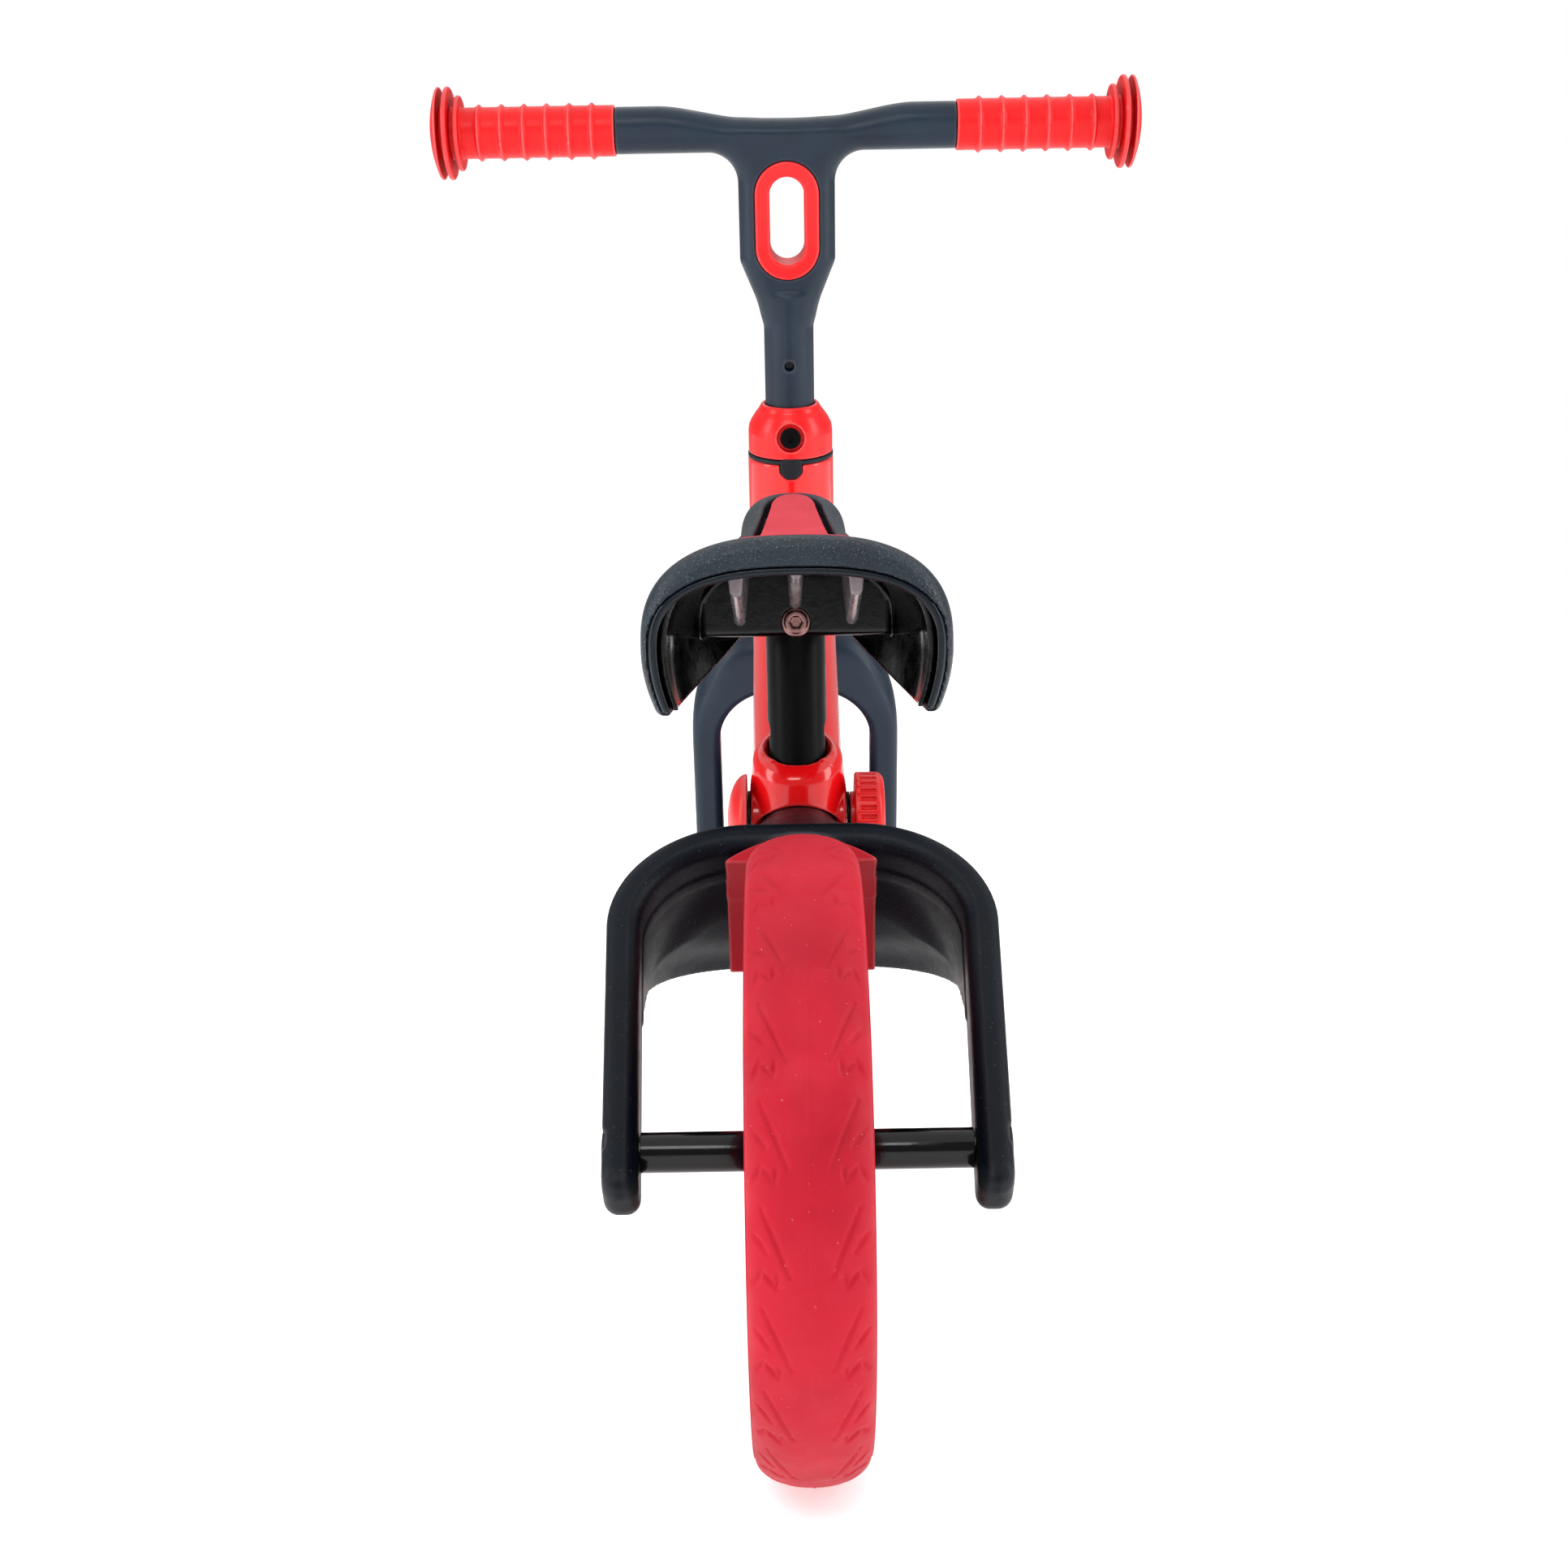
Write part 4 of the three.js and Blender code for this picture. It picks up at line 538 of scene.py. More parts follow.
GRIP_START = BAR_END + GAP
GRIP_RADIUS = 13.2
GRIP_RIBS, GRIP_RIB_PITCH = 6, 12.2
FLANGES = ((84.2, 19.5), (89.6, 24.0))  # where, radius
DOME_RADIUS = 24.0
DOME_FACE = 94.0
DOME_END = 99.6


def grip_field(s, n, t):
    """A grip along s from the end of the bar."""
    rho = length(n, t)
    ribs = sum(1.5 * np.exp(-((s - GRIP_RIB_PITCH * k) / 1.15) ** 2) for k in range(1, GRIP_RIBS + 1))
    sleeve = both(rho - GRIP_RADIUS - ribs, slab(s, 0, 95), 0.7)
    for middle_s, radius in FLANGES:
        sleeve = either(sleeve, both(rho - radius, np.abs(s - middle_s) - 1.2, 1.1), 0.8)
    rise = DOME_END - DOME_FACE - 1
    bend = (DOME_RADIUS ** 2 + rise ** 2) / (2 * rise)
    dome = both(both(length(rho, s - DOME_END + bend) - bend, rho - DOME_RADIUS, 0.8), DOME_FACE - s, 0.8)
    body = either(sleeve, dome, 0.8)
    return without(body, both(rho - CORE_RADIUS - GAP, s - 82.5))


def add_handlebar():
    show("handlebar", carve(handlebar_field, (-177, -16, 212), (177, 16, BAR_T + 14), 0.9, STEERING))
    show("handlebar_trim", carve(trim_field, (-20, -16, WINDOW_T - 34), (20, 16, WINDOW_T + 34), 0.5,
                                 STEERING))
    for side, sign in (("left", -1), ("right", 1)):
        turn = Matrix.Rotation(0 if sign > 0 else math.pi, 4, "Z")
        place = STEERING @ Matrix.Translation((sign * GRIP_START, 0, BAR_T)) @ turn
        show(f"grip_{side}", carve(grip_field, (-2, -26, -26), (102, 26, 26), 0.6, place))


# ---- Collar and headset ----
HEAD_HIGH = 283.3
HEAD_LOW = 182.0
HEAD_RADIUS = 24.7
BUSH_SLEEVE = 21.3
BUSH_BORE = 17.9
TAB_ROUND = 2.5
BUSH_FLANGE = 2.6
SOCKET_HALF = 2.4  # of the hexagon sockets, across the flats
COLLAR_LOW = HEAD_HIGH + BUSH_FLANGE + 2 * GAP
COLLAR_TOP = COLLAR_LOW + 27.6
COLLAR_BORE, COLLAR_RADIUS = 14.5, 24.2
COLLAR_PROFILE = [(COLLAR_BORE, COLLAR_LOW), (COLLAR_RADIUS, COLLAR_LOW), (COLLAR_RADIUS, COLLAR_LOW + 12),
                  (23.7, COLLAR_LOW + 15.5), (22.2, COLLAR_LOW + 18.6), (20, COLLAR_LOW + 21.9),
                  (17.8, COLLAR_TOP - 2.8), (16.8, COLLAR_TOP - 0.9), (15.9, COLLAR_TOP),
                  (COLLAR_BORE, COLLAR_TOP)]
KEY_TAB = mirrored([(3.7, HEAD_HIGH + 1), (3.7, HEAD_HIGH - 3.4), (1.6, HEAD_HIGH - 5.4)])


def collar_field(x, n, t):
    body = outline(COLLAR_PROFILE, length(x, n), t) - 0.05
    recess = both(length(x, t - COLLAR_BOLT_T) - 7.8, n + 20)
    hole = both(length(x, t - COLLAR_BOLT_T) - 3.4, n + 14)
    return without(without(body, recess, 0.9), hole)


def collar_bolt_field(x, n, t):
    around = length(x, t - COLLAR_BOLT_T)
    head = both(around - 5.9, slab(n, -23.4, -20.3), 0.7)
    shank = both(around - 3, slab(n, -21, -14.6))
    socket = both(hexagon(x, t - COLLAR_BOLT_T) - SOCKET_HALF, n + 21.5)
    return without(either(head, shank), socket, 0.2)


def upper_bush_field(x, n, t):
    rho = length(x, n)
    ring = both(rho - HEAD_RADIUS, slab(t, HEAD_HIGH + GAP, HEAD_HIGH + BUSH_FLANGE), 0.5)
    sleeve = both(rho - BUSH_SLEEVE, slab(t, HEAD_HIGH - 14, HEAD_HIGH + 2))
    tab = both(outline(KEY_TAB, x, t) - TAB_ROUND, np.abs(rho - 23.4) - 1.9, 0.5)
    body = either(either(ring, sleeve), both(tab, n))
    return without(body, rho - BUSH_BORE)


def lower_bush_field(x, n, t):
    rho = length(x, n)
    ring = both(rho - HEAD_RADIUS + 1.5, slab(t, HEAD_LOW - 5.6, HEAD_LOW - GAP), 0.6)
    sleeve = both(rho - BUSH_SLEEVE, slab(t, HEAD_LOW - 2, HEAD_LOW + 14))
    return without(either(ring, sleeve), rho - BUSH_BORE)


def add_headset():
    show("height_collar", carve(collar_field, (-26, -26, COLLAR_LOW - 2), (26, 26, COLLAR_TOP + 2), 0.6,
                                STEERING))
    show("collar_bolt", carve(collar_bolt_field, (-7, -25, COLLAR_BOLT_T - 7),
                              (7, -13, COLLAR_BOLT_T + 7), 0.3, STEERING))
    show("upper_headset_bush", carve(upper_bush_field, (-27, -27, HEAD_HIGH - 16),
                                     (27, 27, HEAD_HIGH + 4), 0.5, STEERING))
    show("lower_headset_bush", carve(lower_bush_field, (-26, -26, HEAD_LOW - 8),
                                     (26, 26, HEAD_LOW + 16), 0.7, STEERING))


# ---- Main frame, in the row frame ----
SEAT_Y = middle("seat_post").y
SEAT_TUBE_RADIUS = 20.85
SEAT_LOW, SEAT_HIGH = 160.0, 219.0
MOUTH_RADIUS = 14.8
CLAMP_Z = middle("seat_knob").z
BOLT_HOLE = 3.4
NECK_TOP = 200.2
NECK_RADIUS = 26.0
POST_RADIUS = 13.6


def turned(place, y, z):
    """The second and third coordinates of points after a placing that leaves x alone."""
    return (place[1][1] * y + place[1][2] * z + place[1][3],
            place[2][1] * y + place[2][2] * z + place[2][3])


MAIN_RADIUS, MAIN_HEAD_RADIUS = 20.8, 23.0
MAIN_START = Vector((0, SEAT_Y, 203))
MAIN_END = STEERING @ Vector((0, 0, 229))


def main_tube(x, y, z):
    line = MAIN_END - MAIN_START
    unit = line.normalized()
    along = (y - MAIN_START.y) * unit.y + (z - MAIN_START.z) * unit.z
    off = (y - MAIN_START.y) * unit.z - (z - MAIN_START.z) * unit.y
    radius = mix(MAIN_RADIUS, MAIN_HEAD_RADIUS, np.clip(along / line.length, 0, 1))
    return both(length(x, off) - radius, slab(along, 0, line.length))


def neck_notch(x, y, z, margin):
    centre = NECK_TOP - NECK_RADIUS
    arch = length(x, np.maximum(z - centre, 0)) - NECK_RADIUS - margin
    return both(arch, y - SEAT_Y + 6)


def frame_field(x, y, z):
    n, t = turned(STEERING.inverted(), y, z)
    head = both(length(x, n) - HEAD_RADIUS, slab(t, HEAD_LOW, HEAD_HIGH), 0.8)
    mouth = (z - SEAT_HIGH - 0.46 * (y - SEAT_Y + MOUTH_RADIUS)) * 0.908
    seat = both(both(length(x, y - SEAT_Y) - SEAT_TUBE_RADIUS, SEAT_LOW - z), mouth, 6)
    boss = both(length(y - SEAT_Y, z - CLAMP_Z) - 12.8, np.abs(x) - SEAT_TUBE_RADIUS - 0.9, 0.5)
    body = either(main_tube(x, y, z), head, 9)
    body = either(body, seat, 5)
    body = either(body, boss, 0.8)
    body = without(body, length(x, n) - BUSH_SLEEVE - 0.4, 0.5)
    bore = either(both(length(x, y - SEAT_Y) - 17.85, z - SEAT_HIGH + 4.5),
                  both(length(x, y - SEAT_Y) - MOUTH_RADIUS, SEAT_HIGH - 8 - z))
    body = without(body, bore, 1.2)
    body = without(body, neck_notch(x, y, z, GAP), 0.8)
    key = outline(KEY_TAB, x, t) - TAB_ROUND - GAP
    body = without(body, both(key, n + 12), 0.4)
    bolt = length(y - SEAT_Y, z - CLAMP_Z) - BOLT_HOLE
    screw = both(length(x, z - SEAT_LOW - 8) - 4.4, SEAT_Y + 16 - y)
    return without(without(body, bolt), screw)


def add_frame():
    low, high = corners("main_frame")
    show("main_frame", carve(frame_field, low - Vector((3, 3, 3)), high + Vector((3, 3, 3)), 0.9,
                             Matrix()))


# ---- Rear fork, in the frame of its arms: x across, l along the arms, n back and up ----
ARM_END = 20.5
ARM_HALF_DEPTH = 12.0
SHOULDER_L = 94.0
CROWN_L = 142.0
HOOD_BOTTOM = 142.0
ARM_WALL = 12.5
HOOD_WALL = 4.0
HOOD_REACH = 76.0
GUARD_BOTTOM = 146.0
GUARD_HALF = 29.0
GUARD_CLEARANCE = 13.0
GUARD_WALL = 5.0
AXLE_HOLE, CAP_HOLE = 4.3, 8.5


def hoop(inset):
    """The outline of the hoop, moved in by an inset."""
    shoulder = 73 - inset
    rise = CROWN_L - inset - SHOULDER_L
    foot = 69.5 - 3.5 * 40 / SHOULDER_L - inset
    right = [(foot, -40), (shoulder, SHOULDER_L)] + arc((20, SHOULDER_L), (shoulder - 20, rise), 0, 90, 20)
    return mirrored(right[:1] + right[2:])


def guard_arch(x, l, margin):
    arch = 134 + margin - 11.5 * (x / 28.5) ** 2
    return both((l - arch) * 0.85, np.abs(x) - GUARD_HALF - margin, 1)


def neck_field(x, y, z):
    """From an arch over the seat tube back to the wide crown of the hood."""
    share = np.clip((SEAT_Y - SEAT_TUBE_RADIUS - y) / 100, 0, 1)
    half = 20 + 34 * ease(share * 1.1)
    top = NECK_TOP - 6 * share ** 2
    low = 163 - 6 * share
    centre, rise = (top + low) / 2, (top - low) / 2
    round_top = np.where(z > centre, 2.2, 3.2)
    ring = ((np.abs(x) / half) ** round_top + (np.abs(z - centre) / rise) ** round_top) ** (1 / round_top)
    return both((ring - 1) * rise * 0.9, slab(y, -175, SEAT_Y - 10))


def rear_fork_field(x, l, n):
    y, z = turned(REAR_ARM, l, n)
    outer = outline(hoop(0), x, l)
    inner = outline(hoop(ARM_WALL), x, l)
    axle = length(y - REAR_AXLE.y, z - REAR_AXLE.z)
    band = both(outer, -inner, 2)
    bevel = n - ARM_HALF_DEPTH + 0.45 * np.maximum(4.6 - inner, 0)
    foot = both(-ARM_END - l, np.abs(n) - ARM_HALF_DEPTH, 8.5)
    hoop_body = both(both(both(band, -n - ARM_HALF_DEPTH, 4), bevel, 5), foot, 5)
    shell = both(outline(hoop(ARM_WALL - HOOD_WALL), x, l), -inner)
    hood = both(shell, both(slab(n, -HOOD_REACH, -5), HOOD_BOTTOM - z, 1))
    neck = both(neck_field(x, y, z), -inner, 1)
    body = either(either(hoop_body, hood, 2), neck, 11)
    sleeve = both(length(x, y - SEAT_Y) - 17.5, slab(z, SEAT_LOW, 214), 0.5)
    seat_tube = both(length(x, y - SEAT_Y) - SEAT_TUBE_RADIUS - GAP, SEAT_Y - 6 - y)
    body = either(without(body, seat_tube), sleeve)
    body = without(body, length(x, y - SEAT_Y) - POST_RADIUS - GAP)
    body = without(body, both(guard_arch(x, l, GAP), slab(n, -90, 40)), 0.6)
    wheel_room = axle - WHEEL_RADIUS - GUARD_CLEARANCE - GUARD_WALL - 2 * GAP
    body = without(body, both(wheel_room, np.abs(x) - GUARD_HALF - GAP))
    for radius, reach in ((AXLE_HOLE, -200), (CAP_HOLE, 62.5)):
        body = without(body, both(length(l, n) - radius, reach - np.abs(x)), 0.5)
    bolt = both(length(y - SEAT_Y, z - CLAMP_Z) - BOLT_HOLE, np.abs(x) - 40)
    return without(body, bolt)


def mudguard_field(x, l, n):
    y, z = turned(REAR_ARM, l, n)
    axle = length(y - REAR_AXLE.y, z - REAR_AXLE.z)
    near = WHEEL_RADIUS + GUARD_CLEARANCE
    strip = both(slab(axle, near, near + GUARD_WALL), np.abs(x) - GUARD_HALF, 0.8)
    strip = both(both(strip, GUARD_BOTTOM - z, 0.8), both(z - 187, REAR_AXLE.y + 20 - y))
    head = both(both(guard_arch(x, l, 0), 100 - l), slab(n, -12, 10.4), 0.9)
    return both(either(strip, head, 1), near - axle, 0.8)


def add_rear_fork():
    show("rear_fork", carve(rear_fork_field, (-77, -28, -122), (77, 254, 16), 1.0, REAR_ARM))
    # The mudguard takes the raspberry red that is darkened as painted shade.
    show("rear_mudguard", carve(mudguard_field, (-32, 60, -90), (32, 146, 16), 0.7, REAR_ARM),
         "insert_red_painted_shade")


# ---- Front fork, in the steering frame ----
LEG_INNER, LEG_OUTER = 46.4, 63.4
CROWN_TOP = 175.0
FORK_OUTER = mirrored([(LEG_OUTER, -60)] + arc((22, 112), (LEG_OUTER - 22, CROWN_TOP - 112), 0, 90, 20))
FORK_INNER = mirrored([(LEG_INNER, -60)] + arc((10, 106), (LEG_INNER - 10, 32), 0, 90, 16))


def front_fork_field(x, n, t):
    outer = outline(FORK_OUTER, x, t)
    inner = outline(FORK_INNER, x, t)
    band = both(both(outer, -inner, 3), -15 - t, 7)
    body = both(band, np.abs(n) - ARM_HALF_DEPTH, 5.5)
    bevel = 10 * ease((t - 100) / 45)
    body = both(body, (outer - n - ARM_HALF_DEPTH + bevel) * 0.707, 4)
    seat = both(length(x, n) - 23, slab(t, CROWN_TOP - 22, CROWN_TOP + 1), 0.8)
    body = either(body, seat, 4)
    body = without(body, both(length(x, n) - 17.8, CROWN_TOP - 24 - t))
    for radius, reach in ((AXLE_HOLE, -200), (CAP_HOLE, 56.5)):
        body = without(body, both(length(n, t) - radius, reach - np.abs(x)), 0.5)
    return body


def add_front_fork():
    show("front_fork", carve(front_fork_field, (-67, -27, -19), (67, 27, CROWN_TOP + 4), 0.9, STEERING))


# ---- Seat post and its clamp ----
POST_PITCH = 20


def post_field(x, y, z):
    low, high = corners("seat_post")
    rho = length(x, y)
    body = both(rho - POST_RADIUS, slab(z, low.z, high.z), 0.5)
    body = without(body, rho - POST_RADIUS + 2, 0.3)
    slot = both(np.abs(y) - 4.2, slab(z, CLAMP_Z - POST_PITCH, CLAMP_Z + 2 * POST_PITCH))
    for station in range(4):
        slot = either(slot, length(y, z - CLAMP_Z - POST_PITCH * (station - 1)) - 5.2)
    body = without(body, slot, 0.5)
    return without(body, length(x, z - middle("seat_bolt").z) - 3.3)


KNOB_IN, KNOB_OUT = 26.0, 39.3
KNOB_RADIUS = 20.5
FLUTES = 30


def knob_field(x, y, z):
    rho = length(y, z)
    grip = both(rho - KNOB_RADIUS, x - KNOB_OUT, 4.2)
    grip = both(grip, KNOB_IN - x, 1)
    pitch = 2 * math.pi / FLUTES
    turn = np.arctan2(y, z)
    off = (turn - pitch * np.round(turn / pitch)) * KNOB_RADIUS
    reach = np.maximum(np.abs(x - 31.6) - 3.0, 0)
    flute = length(off, reach, (rho - KNOB_RADIUS - 0.25) * 0.8) - 1.25
    grip = without(grip, flute, 0.25)
    hub = both(rho - 11.6, slab(x, 23.9, KNOB_IN + 2), 0.4)
    recess = both(rho - 14.5, 38.2 - x)
    grip = without(either(grip, hub, 0.6), recess, 0.5)
    return without(grip, both(rho - 3.3, x - 35.3))


def add_clamp():
    show("seat_post", carve(post_field, (-15.5, -15.5, 147), (15.5, 15.5, 299), 0.6, SEAT_POST))
    show("seat_knob", carve(knob_field, (21, -22, -22), (41, 22, 22), 0.35, CLAMP))
    dome = arc((-23.6, 0), (9.2, KNOB_RADIUS), 180, 92, 16)
    cap = [(u, max(v, 0)) for u, v in dome] + [(-23.6, KNOB_RADIUS - 0.4), (-23.6, 5.3), (-28.8, 5.3),
                                               (-28.8, 0)]
    show("knob_cap_left", lathe(cap, 96, CLAMP))
    washer = [(-23.3, BOLT_HOLE), (-23.3, 12.6), (-22.1, 12.6), (-22.1, BOLT_HOLE)]
    show("cap_washer", lathe(softened(washer, 0.3), 64, CLAMP))
    knob_side = [(22.4, BOLT_HOLE), (22.4, 11.6), (23.6, 11.6), (23.6, BOLT_HOLE)]
    show("knob_washer", lathe(softened(knob_side, 0.3), 64, CLAMP), "satin_black")


# ---- Saddle, in the row frame ----
SADDLE_LOW = corners("seat_rim")[0]
SADDLE_NOSE = 46.0
REAR_HALF, WAIST_HALF = 62.6, 25.8
TIP_REAR, TIP_WAIST, TIP_NOSE = 249.0, 285.0, 312.0
TOP_REAR, TOP_NOSE = 319.5, 345.0
POWER = 2.6  # of the superellipse over the skirts
SHELL_WALL = 6.5


def saddle_station(y):
    """Half width, top and skirt tip of the saddle at y."""
    s = (y - SADDLE_LOW.y) / (SADDLE_NOSE - SADDLE_LOW.y)
    waist = ease((s - 0.1) / 0.62)
    nose = np.sqrt(np.clip(1 - np.maximum(0, (s - 0.88) / 0.12) ** 2, 0.02, 1))
    rear_corner = 1 - 0.05 * np.maximum(0, 1 - s / 0.08) ** 2
    half = mix(REAR_HALF, WAIST_HALF, waist) * nose * rear_corner
    tip = mix(TIP_REAR, TIP_WAIST, waist) + (TIP_NOSE - TIP_WAIST) * ease((s - 0.6) / 0.4)
    top = mix(TOP_REAR, TOP_NOSE, ease((s - 0.3) / 0.6))
    return half, tip + 4 + (top - tip - 4) * nose, tip


def saddle_skin(x, y, z, inset=0.0, crown=0.0):
    """The distance from the saddle's outer surface, with its walls and its roof moved in."""
    half, top, tip = saddle_station(y)
    centre = tip + 0.37 * (top - tip)
    half, rise = half - inset, top - inset - crown - centre
    lean = np.clip((centre - z) / (centre - tip), 0, 1.3)
    across = np.abs(x) / (half * (1 - 0.1 * lean * lean))
    upward = np.maximum(z - centre, 0) / rise
    ring = (across ** POWER + upward ** POWER) ** (1 / POWER)
    size = 1 / length(across / half, 0.7 * upward / rise + 1e-3)
    return (ring - 1) * np.minimum(np.maximum(half, rise), ring * size)


def pad_region(x, y, margin):
    """Wide behind, narrowing to a long rounded end at the nose."""
    half = 10.5 + 0.083 * np.maximum(-20 - y, 0) + margin
    ahead = np.maximum(y + 20, 0) / (27 + margin)
    return both((length(x / half, ahead) - 1) * half * 0.9, SADDLE_LOW.y + 8 - margin - y, 3)


def rear_cavity(x, y, z, grow=0.0):
    """The hollow under the rim: shallow behind, where the rim ends in a thick band."""
    lip = 1 - ease((y - SADDLE_LOW.y - 4) / 9)
    return saddle_skin(x, y, z, 5 + 1.5 * (1 - lip) - grow, 11 * lip)


def seat_rim_field(x, y, z):
    tip = saddle_station(y)[2]
    skin = saddle_skin(x, y, z)
    behind = SADDLE_LOW.y - y
    body = both(both(skin, behind, 8), tip - z, 2)
    body = without(body, rear_cavity(x, y, z), 1.4)
    body = without(body, both(rear_cavity(x, y, z, 3.4), y - SADDLE_LOW.y - 6), 0.5)
    groove = both(pad_region(x, y, 0.6 + 2.8 * ease((y + 115) / 50)), -skin - 6)
    return without(body, groove, 1.2)


def rim_lip_field(x, y, z):
    tip = saddle_station(y)[2]
    ring = both(rear_cavity(x, y, z, 3.1), -rear_cavity(x, y, z))
    body = both(ring, slab(y, SADDLE_LOW.y + 1.3, SADDLE_LOW.y + 5.7), 0.9)
    return both(body, tip + 1.5 - z, 1)


def pad_field(x, y, z):
    skin = saddle_skin(x, y, z)
    return both(both(skin - 0.25, -skin - 5), pad_region(x, y, 0), 1.5)


BLOCK_REAR, BLOCK_FRONT, BLOCK_BOTTOM = -104.0, -28.0, 278.0
RIB_PITCH = 24.0


def rib_field(x, y, z):
    slope = (y - BLOCK_REAR) / (-163 - BLOCK_REAR)
    spread = np.abs(x - RIB_PITCH * np.clip(np.round(x / RIB_PITCH), -1, 1))
    low = BLOCK_BOTTOM + 4.5 + 7 * (np.abs(x) < RIB_PITCH / 2) + 13 * np.maximum(slope, 0)
    ribs = both(spread - 2.3 - 0.1 * (z - low), low - z, 2.2)
    return both(both(ribs, slab(y, -163, BLOCK_REAR - GAP), 1), saddle_skin(x, y, z, SHELL_WALL + 3.6))


def seat_base_field(x, y, z):
    tip = saddle_station(y)[2]
    outer = saddle_skin(x, y, z, SHELL_WALL + 0.6)
    liner = both(both(outer, -saddle_skin(x, y, z, SHELL_WALL + 3.4)), tip + 2 - z, 0.8)
    span = slab(y, -168, 10)
    block = both(both(np.abs(x) - 41.5, slab(y, BLOCK_REAR, BLOCK_FRONT), 3), BLOCK_BOTTOM - z, 2)
    lighten = both(both(np.abs(np.abs(x) - 28.5) - 8.5, slab(y, BLOCK_REAR + 5, BLOCK_FRONT - 5)),
                   z - BLOCK_BOTTOM - 16)
    block = without(block, lighten, 1)
    body = either(both(liner, span, 0.6), both(block, outer + 1), 1)
    socket = both(length(x, y - SEAT_Y) - POST_RADIUS - GAP, z - corners("seat_post")[1].z - GAP)
    head = both(length(x, z - middle("seat_bolt").z) - 5.6, y - BLOCK_REAR - 1.3)
    shank = length(x, z - middle("seat_bolt").z) - 3.3
    return without(without(without(body, socket, 0.5), head, 0.4), shank)


def seat_bolt_field(x, y, z):
    rho = length(x, z)
    flange = both(rho - 6.2, slab(y, BLOCK_REAR - 1.4, BLOCK_REAR - 0.2), 0.4)
    head = both(rho - 4.9, slab(y, BLOCK_REAR - 4.3, BLOCK_REAR - 1), 0.6)
    shank = both(rho - 3, slab(y, BLOCK_REAR - 2, BLOCK_FRONT + 6), 0.4)
    socket = both(hexagon(x, z) - SOCKET_HALF, y - BLOCK_REAR + 2)
    return without(either(either(flange, head, 0.3), shank), socket, 0.2)


def add_saddle():
    low = (-65, SADDLE_LOW.y - 3, 243)
    high = (65, 49, 351)
    show("seat_rim", carve(seat_rim_field, low, high, 0.9, Matrix()))
    pad = show("seat_pad", carve(pad_field, (-50, SADDLE_LOW.y + 4, 295), (50, 30, 351), 0.8, Matrix()))
    show("seat_rim", carve(rim_lip_field, low, (65, SADDLE_LOW.y + 9, 325), 0.6, Matrix()), "rim_lip",
         "seat_rim_lip")
    show("seat_base", carve(seat_base_field, (-62, -171, 245), (62, 14, 345), 0.8, Matrix()))
    # The ribs take the grey that is lightened as painted highlight.
    show("seat_base", carve(rib_field, (-32, -166, 276), (32, -100, 320), 0.5, Matrix()), "rib_grey_painted_highlight",
         "seat_ribs")
    bolt_place = Matrix.Translation((0, 0, middle("seat_bolt").z))
    show("seat_bolt", carve(seat_bolt_field, (-7.5, BLOCK_REAR - 6, -7.5), (7.5, BLOCK_FRONT + 8, 7.5), 0.4,
                            bolt_place), "dark_bolt")


# ---- Wheels and axles ----
MOTIFS = 22
GATES = 8  # marks of the mould's gates on the flash line
LONG_SLASH = ((-14.2, 0), (-6.1, 19.5))
SHORT_SLASH = ((-16.6, 8.2), (-12.7, 12.9))
ZIGZAG = ((-16.5, 23), (-14.3, 18.7), (-10.1, 23.2), (-9.6, 19.3))
GROOVE_DEPTH = 0.8
GROOVE_WIDTH = 0.75


def groove(across, along, line):
    """How deep the tread is cut at each point by grooves along a line's segments."""
    deep = np.zeros_like(across)
    for (au, av), (bu, bv) in zip(line, line[1:]):
        eu, ev = bu - au, bv - av
        t = np.clip(((across - au) * eu + (along - av) * ev) / (eu * eu + ev * ev), 0, 1)
        off = (across - au - t * eu) ** 2 + (along - av - t * ev) ** 2
        taper = 0.45 + 0.55 * np.sin(np.pi * np.clip(t, 0.08, 0.92))
        deep = np.maximum(deep, taper * np.exp(-off / GROOVE_WIDTH ** 2))
    return deep


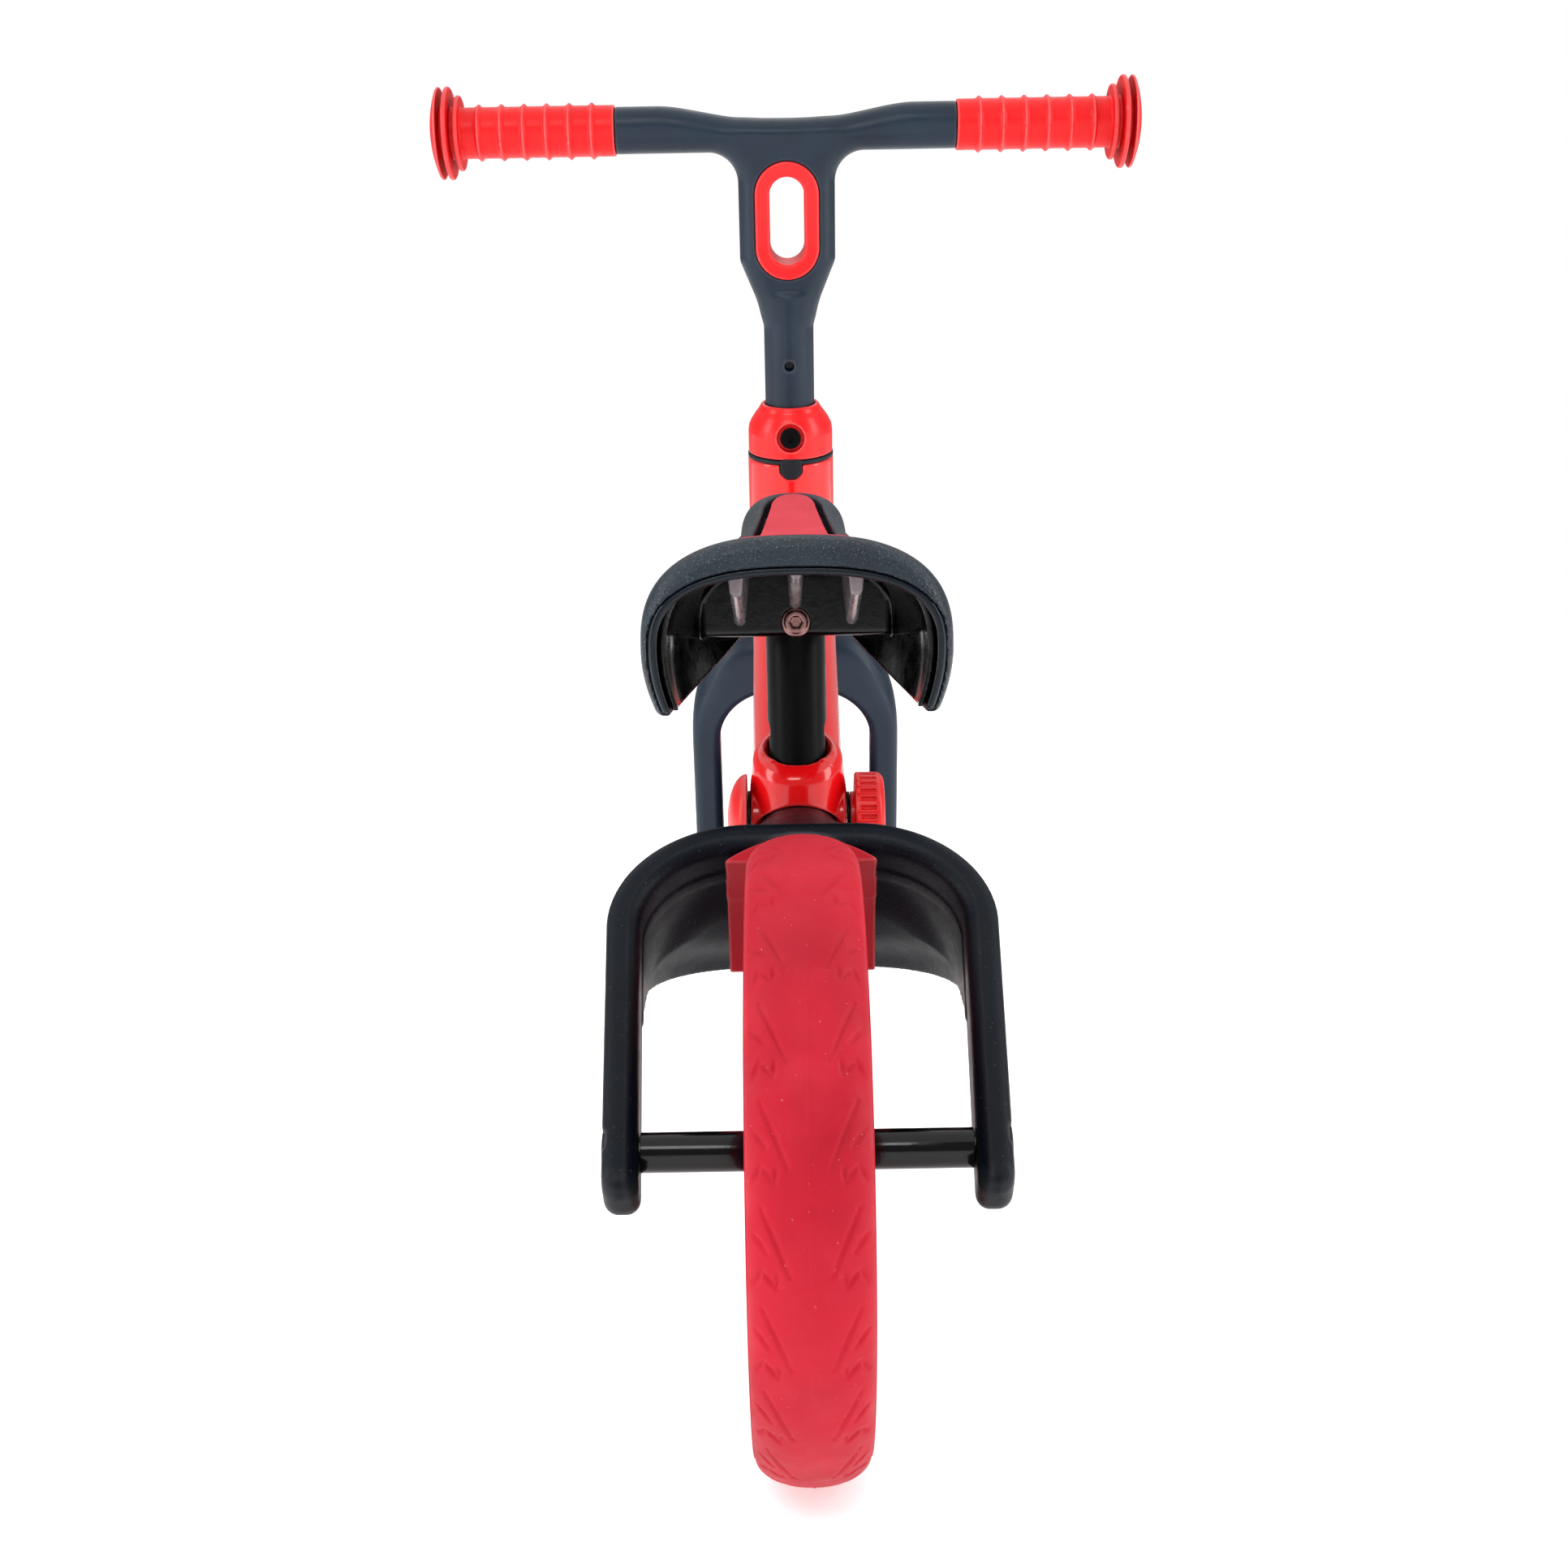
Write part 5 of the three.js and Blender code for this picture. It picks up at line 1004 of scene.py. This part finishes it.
def tyre_mesh(axle):
    """A foam tyre with its tread: slashes and zigzags on both shoulders, and a flash line in the middle."""
    half, waist, bead = 19.0, 97.5, 82.3
    sides, arch = MOTIFS * 66, 150
    angles = [math.pi * i / arch for i in range(arch + 1)]
    power = 2 / 2.1
    profile = [(-half * math.copysign(abs(math.cos(a)) ** power, math.cos(a)),
                waist + (WHEEL_RADIUS - waist) * abs(math.sin(a)) ** power) for a in angles]
    wall = arc((half - 5.5, waist), (5.5, waist - bead), 0, -90, 8)[1:]
    profile = profile + wall + [(-x, r) for x, r in reversed(wall)]
    x = np.array([p[0] for p in profile])[None, :]
    r = np.array([p[1] for p in profile])[None, :]
    turn = (2 * np.pi * np.arange(sides) / sides)[:, None]
    pitch = 2 * np.pi * WHEEL_RADIUS / MOTIFS
    along, across = np.broadcast_arrays((-turn * WHEEL_RADIUS) % pitch, -np.abs(x))
    deep = 0
    for line in (LONG_SLASH, SHORT_SLASH, ZIGZAG):
        deep = np.maximum(deep, groove(across, along, line))
        deep = np.maximum(deep, groove(across, along - pitch, line))
    crest = 0.2 * np.exp(-((x - 0.2) / 0.35) ** 2) * (1 + 0.5 * np.sin(turn * 23) * np.sin(turn * 7))
    gate_pitch = 2 * np.pi * WHEEL_RADIUS / GATES
    gate = ((turn * WHEEL_RADIUS) % gate_pitch - gate_pitch / 2) / 3.2
    crest = crest + 0.3 * np.exp(-((x - 0.2) / 0.9) ** 2 - gate ** 2)
    top = (r > waist + 1) * 1.0
    moved = top * (crest - GROOVE_DEPTH * deep - 0.3)
    lean = x / half
    norm_x, norm_r = lean ** 3, np.sqrt(np.clip(1 - lean ** 6, 0, 1))
    across_now = x + moved * norm_x
    radius = np.minimum(r + moved * norm_r, WHEEL_RADIUS)
    points = np.stack([across_now, radius * np.sin(turn), radius * np.cos(turn)], -1).reshape(-1, 3)
    count = len(profile)
    faces = []
    for i in range(sides):
        a, b = i * count, (i + 1) % sides * count
        faces.extend([a + j, a + (j + 1) % count, b + (j + 1) % count, b + j] for j in range(count))
    return mesh_from(points, faces, Matrix.Translation(axle))


SPOKES = 5
SPACER_RADIUS = 6.9
CAP_RADIUS = 8.1


def rim_field(x, y, z):
    rho = length(y, z)
    inner = 76.0
    band = both(both(rho - 82, inner + 2 * (np.abs(x) / 13.5) - rho), np.abs(x) - 13.4, 1)
    band = either(band, both(rho - 84.8, np.abs(x) - 2.7, 0.5))
    hub = both(both(rho - 18 + 2 * np.abs(x) / 17.3, np.abs(x) - 17.2, 1), 11.3 - rho, 0.4)
    spokes = 1e3
    for i in range(SPOKES):
        a = 2 * math.pi * (i + 0.5) / SPOKES
        along = y * -math.sin(a) + z * math.cos(a)
        off = y * math.cos(a) + z * math.sin(a)
        bar = both(both(np.abs(off) - 7.5 + 0.02 * along, np.abs(x) - 4.5, 2), slab(along, 16, 78))
        spokes = np.minimum(spokes, bar)
    body = either(either(band, spokes, 4), hub, 4)
    body = without(body, rho - 7.5)
    return without(body, both(rho - 11.3, 10 - np.abs(x)), 0.3)


def add_wheel(end, axle, leg_outer):
    place = Matrix.Translation(axle)
    show(f"{end}_tyre", tyre_mesh(axle))
    show(f"{end}_rim", carve(rim_field, (-19, -87, -87), (19, 87, 87), 1.0, place))
    for side, sign in (("left", -1), ("right", 1)):
        low, high = corners(f"{end}_spacer_{side}")
        tube = [(low.x, AXLE_HOLE), (low.x, SPACER_RADIUS), (high.x, SPACER_RADIUS), (high.x, AXLE_HOLE)]
        show(f"{end}_spacer_{side}", lathe(softened(tube, 0.4), 72, place))
        face = leg_outer * sign
        back = face - 1.7 * sign
        cap = [(back, 0), (back, CAP_RADIUS), (face, CAP_RADIUS), (face, 0)]
        show(f"{end}_axle_cap_{side}", lathe(softened(cap, 0.6), 64, place))


def add_wheels():
    add_wheel("rear", REAR_AXLE, 69.5)
    add_wheel("front", FRONT_AXLE, LEG_OUTER)


# ---- The CAD nodes that stay get better materials ----
def refinish():
    for name, node in frame["nodes"].items():
        if not node.hide_render:
            node.data.materials.clear()
            node.data.materials.append(FINISHES[SLOT_OF[name]])


add_camera()
add_studio()
add_handlebar()
add_headset()
add_frame()
add_rear_fork()
add_front_fork()
add_clamp()
add_saddle()
add_wheels()
refinish()
